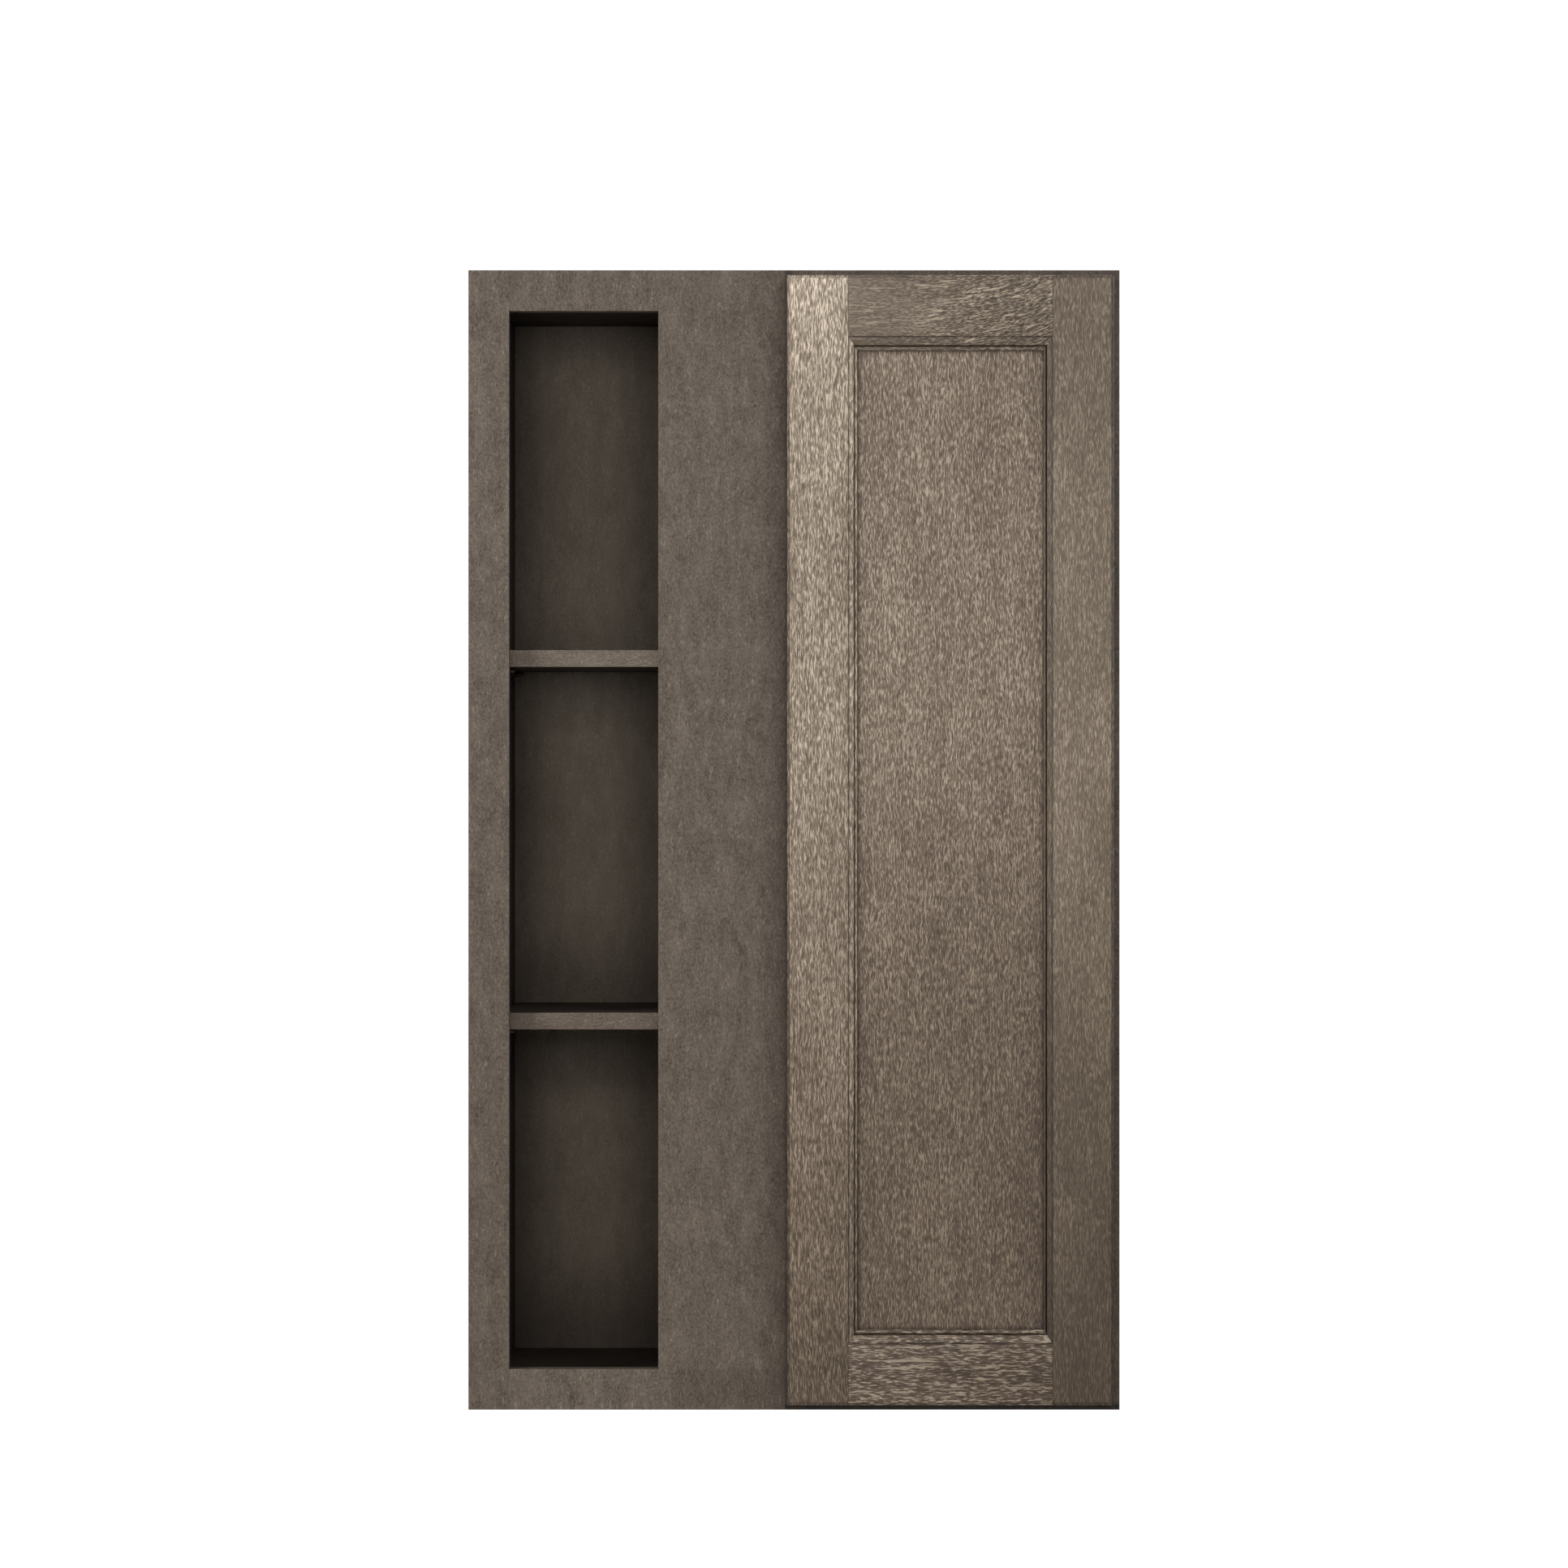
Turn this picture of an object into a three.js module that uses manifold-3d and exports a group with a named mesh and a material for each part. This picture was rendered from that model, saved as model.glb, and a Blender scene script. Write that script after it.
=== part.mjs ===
// Hanging corner wall cabinet: a face-framed case with an open window at the left, a wide blind
// stile, two loose shelves on pins and one five-piece recessed-panel door on three cup hinges.
// Millimetres, +Z up. The front faces -Y, +X is to the right of someone facing the front, and the
// origin is the bottom centre of the whole cabinet with its door shut.
import * as THREE from 'three';
import { mergeVertices } from 'three/addons/utils/BufferGeometryUtils.js';
import Module from 'manifold-3d';

const wasm = await Module();
wasm.setup();

// ---- Driving dimensions -------------------------------------------------------------------
const INCH = 25.4;
const FIT = 0.1; // gap left between pieces that touch
const LOOSE = 0.3; // gap left round turned pieces in their holes
const OVERCUT = 1; // how far a cutter runs past the faces that it opens

const CASE_WIDTH = 24 * INCH;
const CASE_HEIGHT = 42 * INCH;
const CASE_DEPTH = 12 * INCH; // face frame included, door not
const BOARD = 0.75 * INCH; // frame, side and door stock
const PANEL_BOARD = 0.5 * INCH; // top, bottom and hanging rails
const BACK_BOARD = 0.25 * INCH;
const SHELF_BOARD = 0.625 * INCH;

const FRAME_MEMBER = 1.5 * INCH; // outer stiles and both rails
const WINDOW_WIDTH = 5.5 * INCH; // open bay at the left
const MID_STILE = 6 * INCH; // blind stile, partly behind the door
const CASE_REVEAL = 0.3 * INCH; // how far the inside faces lie outside the frame's openings

const DOOR_WIDTH = 12 * INCH;
const DOOR_REVEAL = 0.25 * INCH; // frame left showing round the door
const DOOR_GAP = 2.5; // held by the bumpers
const DOOR_MEMBER = 2.25 * INCH; // flat face of the door's stiles and rails

const GROOVE_DEPTH = 6; // side grooves for top, bottom and back
const HANGING_RAIL = 3.5 * INCH;
const SHELF_RISE = 12.78 * INCH; // end compartments, floor to shelf and shelf to top
const SHELF_END_GAP = 1.6;
const SHELF_DEPTH_GAP = 2;

const PIN_RADIUS = 2.4;
const PIN_HOLE_RADIUS = PIN_RADIUS + LOOSE;
const PIN_HOLE_DEPTH = 10;
const PIN_HOLE_SIDES = 10;
const PIN_SIDES = 14;
const PIN_SHANK = 9; // length of pin inside its hole
const PIN_SETBACK = 37; // from the front of the side, and from the back panel
const PIN_PITCH = 32;
const PIN_STEPS = [-2, -1, 0, 1, 2];
const PIN_COLLAR_RADIUS = 4.2;
const PIN_COLLAR = 1.2;
const PIN_NOSE = 9;
const PIN_NOSE_RADIUS = 2.5;

// Door moulding: inward distance from the flat face's edge, and depth behind that face.
const QUIRK = 0.8;
const SLOPE_WIDTH = 5.6;
const SLOPE_DEPTH = 3.2;
const BEAD_DEPTH = 5.2;
const MOULDING_WIDTH = 8.3;
const RAIL_STRETCH = 1.56; // the rails' moulding is wider than the stiles', with the same depths
const DOOR_PANEL_DEPTH = 7.5;
const DOOR_PANEL_BOARD = 0.25 * INCH;
const TONGUE_GROOVE = 9.5;
const EDGE_STEP_WIDTH = 2.3;
const EDGE_STEP_DEPTH = 1.1;

const HINGE_FROM_END = 3.5 * INCH; // centre of an end hinge, from the door's end
const CUP_RADIUS = 17.5;
const CUP_SIDES = 40;
const CUP_BORE_RADIUS = CUP_RADIUS + 0.2;
const CUP_DEPTH = 13;
const CUP_FLOOR = 0.6;
const CUP_WALL = 0.8;
const CUP_EDGE_DISTANCE = 3; // wood left between the cup and the door's edge
const FLANGE = 1;
const FLANGE_RADIUS = 18.2;
const WING_HEIGHT = 60;
const WING_OVERLAP = 3; // how far a wing runs in over the cup's wall
const WING_WIDTH = 12;
const WING_OFFSET = 9.5; // screw line, from the cup's centre away from the door's edge
const CUP_SCREW_SPACING = 45;
const PIVOT_EDGE_DISTANCE = 7; // hinge pin, from the door's edge
const PIVOT_DEPTH = 10.5; // hinge pin, behind the door's back face
const PIVOT_RADIUS = 0.9;
const PIVOT_REACH = 9.9; // half the length of the hinge pin
const PIVOT_SIDES = 16;
const KNUCKLE_RADIUS = 1.8;
const KNUCKLE_SIDES = 24;
const ARM_WIDTH = 6;
const ARM_FLOOR_LOW = 1.7; // underside of the arm, below the pin's centre
const ARM_FLOOR_HIGH = 0.4; // its upper side, also below the pin's centre
const ARM_RISE = 1.8; // thickness where the arm leaves the cup
const BASE_PLATE = 1.4;
const BASE_HEIGHT = 52;
const BASE_EDGE = 1; // plate set back from both faces of the stile
const BASE_SCREW_SPACING = 38;
const SCREW_SHANK = 1.6;
const SCREW_HEAD = 3.4;
const SCREW_HEAD_HEIGHT = 0.8;
const SCREW_HEAD_CROWN = 0.7; // flat top of the head, as a share of its radius
const SCREW_HEAD_RIM = 0.4; // upright edge of the head, as a share of its height
const SCREW_SIDES = 14;
const SCREW_HOLE_RADIUS = SCREW_SHANK + LOOSE;
const SCREW_HOLE_SIDES = 12;
const CUP_SCREW_LENGTH = 13;
const BASE_SCREW_LENGTH = 18;

const BUMPER_RADIUS = 4.75;
const BUMPER_SIDES = 24;
const BUMPER_FROM_EDGE = 14;

// ---- Places worked out from the dimensions --------------------------------------------------
const BACK_Y = (CASE_DEPTH + DOOR_GAP + BOARD) / 2;
const FRAME_FRONT_Y = BACK_Y - CASE_DEPTH;
const FRAME_BACK_Y = FRAME_FRONT_Y + BOARD;
const DOOR_BACK_Y = FRAME_FRONT_Y - DOOR_GAP;
const DOOR_FRONT_Y = -BACK_Y;
const CASE_FRONT_Y = FRAME_BACK_Y + FIT;

const RIGHT_X = CASE_WIDTH / 2;
const LEFT_X = -RIGHT_X;
const WINDOW_LEFT_X = LEFT_X + FRAME_MEMBER;
const WINDOW_RIGHT_X = WINDOW_LEFT_X + WINDOW_WIDTH;
const BAY_LEFT_X = WINDOW_RIGHT_X + MID_STILE;
const BAY_RIGHT_X = RIGHT_X - FRAME_MEMBER;
const OPENING_LOW_Z = FRAME_MEMBER;
const OPENING_HIGH_Z = CASE_HEIGHT - FRAME_MEMBER;

const INSIDE_X = RIGHT_X - FRAME_MEMBER + CASE_REVEAL;
const SIDE_OUTER_X = INSIDE_X + BOARD;
const FLOOR_Z = OPENING_LOW_Z - CASE_REVEAL;
const CEILING_Z = OPENING_HIGH_Z + CASE_REVEAL;

const RAIL_FRONT_Y = BACK_Y - PANEL_BOARD;
const BACK_PANEL_BACK_Y = RAIL_FRONT_Y - FIT;
const BACK_PANEL_FRONT_Y = BACK_PANEL_BACK_Y - BACK_BOARD;
const SHELF_FRONT_Y = FRAME_BACK_Y + SHELF_DEPTH_GAP;
const SHELF_BACK_Y = BACK_PANEL_FRONT_Y - SHELF_DEPTH_GAP;
const LOWER_SHELF_Z = FLOOR_Z + SHELF_RISE;
const UPPER_SHELF_Z = CEILING_Z - SHELF_RISE - SHELF_BOARD;
const PIN_YS = [FRAME_BACK_Y + PIN_SETBACK, BACK_PANEL_FRONT_Y - PIN_SETBACK];

const DOOR_RIGHT_X = RIGHT_X - DOOR_REVEAL;
const DOOR_LEFT_X = DOOR_RIGHT_X - DOOR_WIDTH;
const DOOR_LOW_Z = DOOR_REVEAL;
const DOOR_HIGH_Z = CASE_HEIGHT - DOOR_REVEAL;

const CUP_X = DOOR_RIGHT_X - CUP_EDGE_DISTANCE - CUP_RADIUS;
const PIVOT_X = DOOR_RIGHT_X - PIVOT_EDGE_DISTANCE;
const PIVOT_Y = DOOR_BACK_Y - PIVOT_DEPTH;
const BASE_X = BAY_RIGHT_X - FIT - BASE_PLATE;
const ARM_INNER_X = BASE_X - FIT - ARM_RISE;
const HINGE_ZS = [
  ['bottom', DOOR_LOW_Z + HINGE_FROM_END],
  ['middle', CASE_HEIGHT / 2],
  ['top', DOOR_HIGH_Z - HINGE_FROM_END],
];

// ---- Shape helpers --------------------------------------------------------------------------
function block([x0, x1], [y0, y1], [z0, z1]) {
  const box = new THREE.BoxGeometry(x1 - x0, y1 - y0, z1 - z0);
  return box.translate((x0 + x1) / 2, (y0 + y1) / 2, (z0 + z1) / 2);
}

// A round bar along one axis, given its centre line's start and its length along that axis.
function bar(axis, radius, length, [x, y, z], sides) {
  const round = new THREE.CylinderGeometry(radius, radius, length, sides);
  if (axis === 'x') round.rotateZ(-Math.PI / 2).translate(length / 2, 0, 0);
  if (axis === 'y') round.translate(0, length / 2, 0);
  if (axis === 'z') round.rotateX(Math.PI / 2).translate(0, 0, length / 2);
  return round.translate(x, y, z);
}

// A closed outline, extruded from the XY plane along +Z.
function prism(points, length) {
  const outline = new THREE.Shape(points.map(([x, y]) => new THREE.Vector2(x, y)));
  return new THREE.ExtrudeGeometry(outline, { depth: length, bevelEnabled: false });
}

function toSolid(geometry) {
  const bare = geometry.clone();
  bare.deleteAttribute('normal');
  bare.deleteAttribute('uv');
  const merged = mergeVertices(bare, 1e-4);
  return new wasm.Manifold(new wasm.Mesh({
    numProp: 3,
    vertProperties: new Float32Array(merged.attributes.position.array),
    triVerts: new Uint32Array(merged.index.array),
  }));
}

function toGeometry(solid) {
  const mesh = solid.getMesh();
  const geometry = new THREE.BufferGeometry();
  geometry.setAttribute('position', new THREE.BufferAttribute(mesh.vertProperties, 3));
  geometry.setIndex(new THREE.BufferAttribute(mesh.triVerts, 1));
  return geometry;
}

// The first shape with the added ones joined on and then the cutters taken away.
function carve(start, { add = [], cut = [] }) {
  const joined = add.reduce((solid, piece) => solid.add(toSolid(piece)), toSolid(start));
  return toGeometry(cut.reduce((solid, cutter) => solid.subtract(toSolid(cutter)), joined));
}

// ---- Materials ------------------------------------------------------------------------------
function finish(color, roughness, metalness = 0) {
  return () => new THREE.MeshStandardMaterial({ color, roughness, metalness });
}
const frameWood = finish(0x62584f, 0.6);
const doorWood = finish(0x84766a, 0.58);
const caseWood = finish(0x6a5f55, 0.65);
const backWood = finish(0x4f473f, 0.7);
const shelfWood = finish(0x75695d, 0.6);
const hingeSteel = finish(0xb4b6b8, 0.32, 0.9);
const clearPlastic = finish(0xdcdcd6, 0.35);

const cabinet = new THREE.Group();

function addPiece(name, geometry, material, place = [0, 0, 0]) {
  const mesh = new THREE.Mesh(geometry, material());
  mesh.name = name;
  mesh.position.set(...place);
  cabinet.add(mesh);
}

// ---- Case -----------------------------------------------------------------------------------
// Each side is grooved for the top, bottom and back, and bored for the shelf pins.
function sidePanel(direction) {
  const inner = direction * INSIDE_X;
  const outer = direction * SIDE_OUTER_X;
  const grooveBottom = direction * (INSIDE_X + GROOVE_DEPTH + FIT);
  const mouth = direction * (INSIDE_X - OVERCUT);
  const grooveX = [Math.min(grooveBottom, mouth), Math.max(grooveBottom, mouth)];
  const wholeDepth = [CASE_FRONT_Y - OVERCUT, BACK_Y + OVERCUT];
  const cut = [
    block(grooveX, wholeDepth, [FLOOR_Z - PANEL_BOARD - FIT, FLOOR_Z + FIT]),
    block(grooveX, wholeDepth, [CEILING_Z - FIT, CEILING_Z + PANEL_BOARD + FIT]),
    block(grooveX, [BACK_PANEL_FRONT_Y - FIT, BACK_PANEL_BACK_Y + FIT], [FLOOR_Z, CEILING_Z]),
  ];
  const holeLength = PIN_HOLE_DEPTH + OVERCUT;
  const holeStart = direction > 0 ? INSIDE_X - OVERCUT : -INSIDE_X - PIN_HOLE_DEPTH;
  for (const shelfZ of [LOWER_SHELF_Z, UPPER_SHELF_Z]) {
    for (const y of PIN_YS) {
      for (const step of PIN_STEPS) {
        const z = shelfZ - PIN_NOSE_RADIUS - FIT + step * PIN_PITCH;
        cut.push(bar('x', PIN_HOLE_RADIUS, holeLength, [holeStart, y, z], PIN_HOLE_SIDES));
      }
    }
  }
  const boardX = [Math.min(inner, outer), Math.max(inner, outer)];
  return carve(block(boardX, [CASE_FRONT_Y, BACK_Y], [0, CASE_HEIGHT]), { cut });
}
addPiece('left_side', sidePanel(-1), caseWood);
addPiece('right_side', sidePanel(1), caseWood);

const GROOVED_X = [-INSIDE_X - GROOVE_DEPTH, INSIDE_X + GROOVE_DEPTH];
const INNER_X = [-INSIDE_X + FIT, INSIDE_X - FIT];
const CASE_Y = [CASE_FRONT_Y, BACK_Y];
addPiece('bottom_panel', block(GROOVED_X, CASE_Y, [FLOOR_Z - PANEL_BOARD, FLOOR_Z]), caseWood);
addPiece('top_panel', block(GROOVED_X, CASE_Y, [CEILING_Z, CEILING_Z + PANEL_BOARD]), caseWood);
addPiece('back_panel', block(
  GROOVED_X,
  [BACK_PANEL_FRONT_Y, BACK_PANEL_BACK_Y],
  [FLOOR_Z + FIT, CEILING_Z - FIT],
), backWood);

const hangingY = [RAIL_FRONT_Y, BACK_Y];
const topRailZ = [CEILING_Z - FIT - HANGING_RAIL, CEILING_Z - FIT];
const bottomRailZ = [FLOOR_Z + FIT, FLOOR_Z + FIT + HANGING_RAIL];
addPiece('hanging_rail_top', block(INNER_X, hangingY, topRailZ), caseWood);
addPiece('hanging_rail_bottom', block(INNER_X, hangingY, bottomRailZ), caseWood);

// ---- Shelves and their pins -----------------------------------------------------------------
const shelfX = [-INSIDE_X + SHELF_END_GAP, INSIDE_X - SHELF_END_GAP];
const shelfY = [SHELF_FRONT_Y, SHELF_BACK_Y];
for (const [name, z] of [['shelf_lower', LOWER_SHELF_Z], ['shelf_upper', UPPER_SHELF_Z]]) {
  addPiece(name, block(shelfX, shelfY, [z, z + SHELF_BOARD]), shelfWood);
}

// A pin lies along X: shank in the side, a collar against it and a nose under the shelf.
function shelfPin(direction) {
  const profile = [
    [0, -PIN_SHANK],
    [PIN_RADIUS, -PIN_SHANK],
    [PIN_RADIUS, FIT],
    [PIN_COLLAR_RADIUS, FIT],
    [PIN_COLLAR_RADIUS, FIT + PIN_COLLAR],
    [PIN_NOSE_RADIUS, FIT + PIN_COLLAR],
    [PIN_NOSE_RADIUS, FIT + PIN_COLLAR + PIN_NOSE],
    [0, FIT + PIN_COLLAR + PIN_NOSE],
  ].map(([radius, along]) => new THREE.Vector2(radius, along));
  return new THREE.LatheGeometry(profile, PIN_SIDES).rotateZ(direction * Math.PI / 2);
}
for (const [side, direction] of [['left', -1], ['right', 1]]) {
  for (const [level, shelfZ] of [['lower', LOWER_SHELF_Z], ['upper', UPPER_SHELF_Z]]) {
    PIN_YS.forEach((y, index) => {
      const place = [direction * INSIDE_X, y, shelfZ - PIN_NOSE_RADIUS - FIT];
      const name = `shelf_pin_${level}_${side}_${index === 0 ? 'front' : 'back'}`;
      addPiece(name, shelfPin(direction), hingeSteel, place);
    });
  }
}

// ---- Face frame -----------------------------------------------------------------------------
const FRAME_Y = [FRAME_FRONT_Y, FRAME_BACK_Y];
const FULL_Z = [0, CASE_HEIGHT];
const betweenRails = [OPENING_LOW_Z + FIT, OPENING_HIGH_Z - FIT];
const betweenStiles = [WINDOW_LEFT_X + FIT, BAY_RIGHT_X - FIT];
const baseScrewZs = HINGE_ZS.flatMap(([, z]) => [-1, 1].map((s) => z + s * BASE_SCREW_SPACING / 2));
const BASE_SCREW_Y = FRAME_FRONT_Y + BOARD / 2;
const baseScrewHoles = baseScrewZs.map((z) => bar(
  'x', SCREW_HOLE_RADIUS, BASE_SCREW_LENGTH + 2 * OVERCUT,
  [BAY_RIGHT_X - OVERCUT, BASE_SCREW_Y, z], SCREW_HOLE_SIDES,
));
addPiece('frame_left_stile', block([LEFT_X, WINDOW_LEFT_X], FRAME_Y, FULL_Z), frameWood);
addPiece('frame_right_stile', carve(
  block([BAY_RIGHT_X, RIGHT_X], FRAME_Y, FULL_Z), { cut: baseScrewHoles },
), frameWood);
addPiece('frame_top_rail', block(betweenStiles, FRAME_Y, [OPENING_HIGH_Z, CASE_HEIGHT]), frameWood);
addPiece('frame_bottom_rail', block(betweenStiles, FRAME_Y, [0, OPENING_LOW_Z]), frameWood);
addPiece('frame_mid_stile', block([WINDOW_RIGHT_X, BAY_LEFT_X], FRAME_Y, betweenRails), frameWood);

// ---- Door -----------------------------------------------------------------------------------
// Section of a stile or rail: x runs inward from the outer edge, y runs back from the front face.
const grooveFront = DOOR_PANEL_DEPTH - FIT;
const grooveBack = DOOR_PANEL_DEPTH + DOOR_PANEL_BOARD + FIT;
function memberSection(stretch) {
  const slopeEnd = DOOR_MEMBER + SLOPE_WIDTH * stretch;
  const lipEnd = DOOR_MEMBER + MOULDING_WIDTH * stretch;
  const grooveEnd = lipEnd - TONGUE_GROOVE;
  return [
    [0, EDGE_STEP_DEPTH],
    [EDGE_STEP_WIDTH, EDGE_STEP_DEPTH],
    [EDGE_STEP_WIDTH, 0],
    [DOOR_MEMBER, 0],
    [DOOR_MEMBER, QUIRK],
    [slopeEnd, SLOPE_DEPTH],
    [slopeEnd, BEAD_DEPTH],
    [lipEnd, BEAD_DEPTH],
    [lipEnd, grooveFront],
    [grooveEnd, grooveFront],
    [grooveEnd, grooveBack],
    [lipEnd, grooveBack],
    [lipEnd, BOARD],
    [0, BOARD],
  ];
}

// What is taken off a member's moulding at one end, so that it mitres to its neighbour's. The
// mitre starts at `corner`, `past` is a height beyond that end, and `lean` is rise over run.
function mitreCutter(corner, past, lean) {
  const reach = MOULDING_WIDTH * RAIL_STRETCH + OVERCUT;
  const slant = Math.sign(corner - past) * reach * lean;
  const outline = [[0, past], [0, corner], [reach, corner + slant], [reach, past]];
  const placed = outline.map(([inward, along]) => [DOOR_MEMBER + inward, along]);
  const wedge = prism(placed, BOARD + 2 * OVERCUT);
  // Turn the outline's second axis from +Y to +Z, so that the wedge's thickness runs along Y.
  return wedge.rotateX(Math.PI / 2).translate(0, BOARD + OVERCUT, 0);
}

// A stile standing along +Z from the origin, with its outer edge at x = 0 and its front at y = 0.
function stileShape(length) {
  const stepX = [-OVERCUT, DOOR_MEMBER + OVERCUT];
  const stepY = [-OVERCUT, EDGE_STEP_DEPTH];
  return carve(prism(memberSection(1), length), { cut: [
    mitreCutter(DOOR_MEMBER, -OVERCUT, RAIL_STRETCH),
    mitreCutter(length - DOOR_MEMBER, length + OVERCUT, RAIL_STRETCH),
    block(stepX, stepY, [-OVERCUT, EDGE_STEP_WIDTH]),
    block(stepX, stepY, [length - EDGE_STEP_WIDTH, length + OVERCUT]),
  ] });
}

// A rail in the same position as a stile, cut to fit between the two stiles.
function railShape(length) {
  const start = prism(memberSection(RAIL_STRETCH), length).translate(0, 0, FIT);
  const end = length + FIT;
  return carve(start, { cut: [
    mitreCutter(FIT, -OVERCUT, 1 / RAIL_STRETCH),
    mitreCutter(end, end + OVERCUT, 1 / RAIL_STRETCH),
  ] });
}

const doorHeight = DOOR_HIGH_Z - DOOR_LOW_Z;
const railLength = DOOR_WIDTH - 2 * DOOR_MEMBER - 2 * FIT;
addPiece('door_left_stile', stileShape(doorHeight), doorWood,
  [DOOR_LEFT_X, DOOR_FRONT_Y, DOOR_LOW_Z]);

// The right stile is the left one mirrored, then bored for the hinges' cups and their screws.
const boreDepth = CUP_DEPTH + LOOSE;
const cupBores = HINGE_ZS.map(([, z]) => bar(
  'y', CUP_BORE_RADIUS, boreDepth + OVERCUT,
  [CUP_X - DOOR_RIGHT_X, BOARD - boreDepth, z - DOOR_LOW_Z], CUP_SIDES,
));
const cupScrewX = CUP_X - WING_OFFSET;
const cupScrewZs = HINGE_ZS.flatMap(([, z]) => [-1, 1].map((s) => z + s * CUP_SCREW_SPACING / 2));
const cupScrewHoles = cupScrewZs.map((z) => bar(
  'y', SCREW_HOLE_RADIUS, CUP_SCREW_LENGTH + OVERCUT,
  [cupScrewX - DOOR_RIGHT_X, BOARD - CUP_SCREW_LENGTH, z - DOOR_LOW_Z], SCREW_HOLE_SIDES,
));
const mirroredStile = toGeometry(toSolid(stileShape(doorHeight)).mirror([1, 0, 0]));
addPiece('door_right_stile', carve(mirroredStile, { cut: [...cupBores, ...cupScrewHoles] }),
  doorWood, [DOOR_RIGHT_X, DOOR_FRONT_Y, DOOR_LOW_Z]);

// Rails are shaped standing up, then laid along X with their moulded edge towards the panel.
function layRail(inwardIsUp) {
  // A mirror in the plane x = z takes (x, y, z) to (z, y, x).
  const lying = toSolid(railShape(railLength)).mirror([1, 0, -1]);
  return toGeometry(inwardIsUp ? lying : lying.mirror([0, 0, 1]));
}
const railX = DOOR_LEFT_X + DOOR_MEMBER;
addPiece('door_bottom_rail', layRail(true), doorWood, [railX, DOOR_FRONT_Y, DOOR_LOW_Z]);
addPiece('door_top_rail', layRail(false), doorWood, [railX, DOOR_FRONT_Y, DOOR_HIGH_Z]);

const tongueX = DOOR_MEMBER + MOULDING_WIDTH - TONGUE_GROOVE + LOOSE;
const tongueZ = DOOR_MEMBER + MOULDING_WIDTH * RAIL_STRETCH - TONGUE_GROOVE + LOOSE;
addPiece('door_panel', block(
  [DOOR_LEFT_X + tongueX, DOOR_RIGHT_X - tongueX],
  [DOOR_FRONT_Y + DOOR_PANEL_DEPTH, DOOR_FRONT_Y + DOOR_PANEL_DEPTH + DOOR_PANEL_BOARD],
  [DOOR_LOW_Z + tongueZ, DOOR_HIGH_Z - tongueZ],
), doorWood);

const bumperLength = DOOR_GAP - 2 * FIT;
for (const [name, z] of [
  ['bumper_bottom', DOOR_LOW_Z + BUMPER_FROM_EDGE],
  ['bumper_top', DOOR_HIGH_Z - BUMPER_FROM_EDGE],
]) {
  addPiece(name, bar('y', BUMPER_RADIUS, bumperLength, [0, 0, 0], BUMPER_SIDES), clearPlastic,
    [DOOR_LEFT_X + BUMPER_FROM_EDGE, DOOR_BACK_Y + FIT, z]);
}

// ---- Hinges ---------------------------------------------------------------------------------
// Cup: a pressed shell sunk in the door's back, opening towards +Y, with a flange and two wings.
function hingeCup() {
  const inside = CUP_RADIUS - CUP_WALL;
  const profile = [
    [0, -CUP_DEPTH],
    [CUP_RADIUS, -CUP_DEPTH],
    [CUP_RADIUS, FIT],
    [FLANGE_RADIUS, FIT],
    [FLANGE_RADIUS, FIT + FLANGE],
    [inside, FIT + FLANGE],
    [inside, CUP_FLOOR - CUP_DEPTH],
    [0, CUP_FLOOR - CUP_DEPTH],
  ].map(([radius, along]) => new THREE.Vector2(radius, along));
  const shell = new THREE.LatheGeometry(profile, CUP_SIDES);
  const wingX = [-WING_OFFSET - WING_WIDTH / 2, -WING_OFFSET + WING_WIDTH / 2];
  const wingY = [FIT, FIT + FLANGE];
  const wings = [-1, 1].map((side) => {
    const ends = [side * WING_HEIGHT / 2, side * (CUP_RADIUS - WING_OVERLAP)];
    return block(wingX, wingY, [Math.min(...ends), Math.max(...ends)]);
  });
  const hollowDepth = CUP_DEPTH - CUP_FLOOR + FIT + FLANGE + OVERCUT;
  const hollow = bar('y', inside, hollowDepth, [0, CUP_FLOOR - CUP_DEPTH, 0], CUP_SIDES);
  const screwHoles = [-1, 1].map((side) => bar(
    'y', SCREW_HOLE_RADIUS, FIT + FLANGE + 2 * OVERCUT,
    [-WING_OFFSET, -OVERCUT, side * CUP_SCREW_SPACING / 2], SCREW_HOLE_SIDES,
  ));
  const pinHole = bar('z', PIVOT_RADIUS + LOOSE, 4 * CUP_RADIUS,
    [PIVOT_X - CUP_X, -PIVOT_DEPTH, -2 * CUP_RADIUS], PIVOT_SIDES);
  return carve(shell, { add: wings, cut: [hollow, ...screwHoles, pinHole] });
}

// Arm: rolled round the pin, flat along the cup's floor, then up past the stile's inner edge.
function hingeArm() {
  const width = [-ARM_WIDTH / 2, ARM_WIDTH / 2];
  const left = ARM_INNER_X - PIVOT_X;
  const top = FRAME_BACK_Y - BASE_EDGE - PIVOT_Y;
  const knuckle = bar('z', KNUCKLE_RADIUS, ARM_WIDTH, [0, 0, -ARM_WIDTH / 2], KNUCKLE_SIDES);
  const strap = block([left, 0], [-ARM_FLOOR_LOW, -ARM_FLOOR_HIGH], width);
  const riser = block([left, left + ARM_RISE], [-ARM_FLOOR_LOW, top], width);
  const bore = bar('z', PIVOT_RADIUS + LOOSE, ARM_WIDTH + 2 * OVERCUT,
    [0, 0, -ARM_WIDTH / 2 - OVERCUT], PIVOT_SIDES);
  return carve(knuckle, { add: [strap, riser], cut: [bore] });
}

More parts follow.
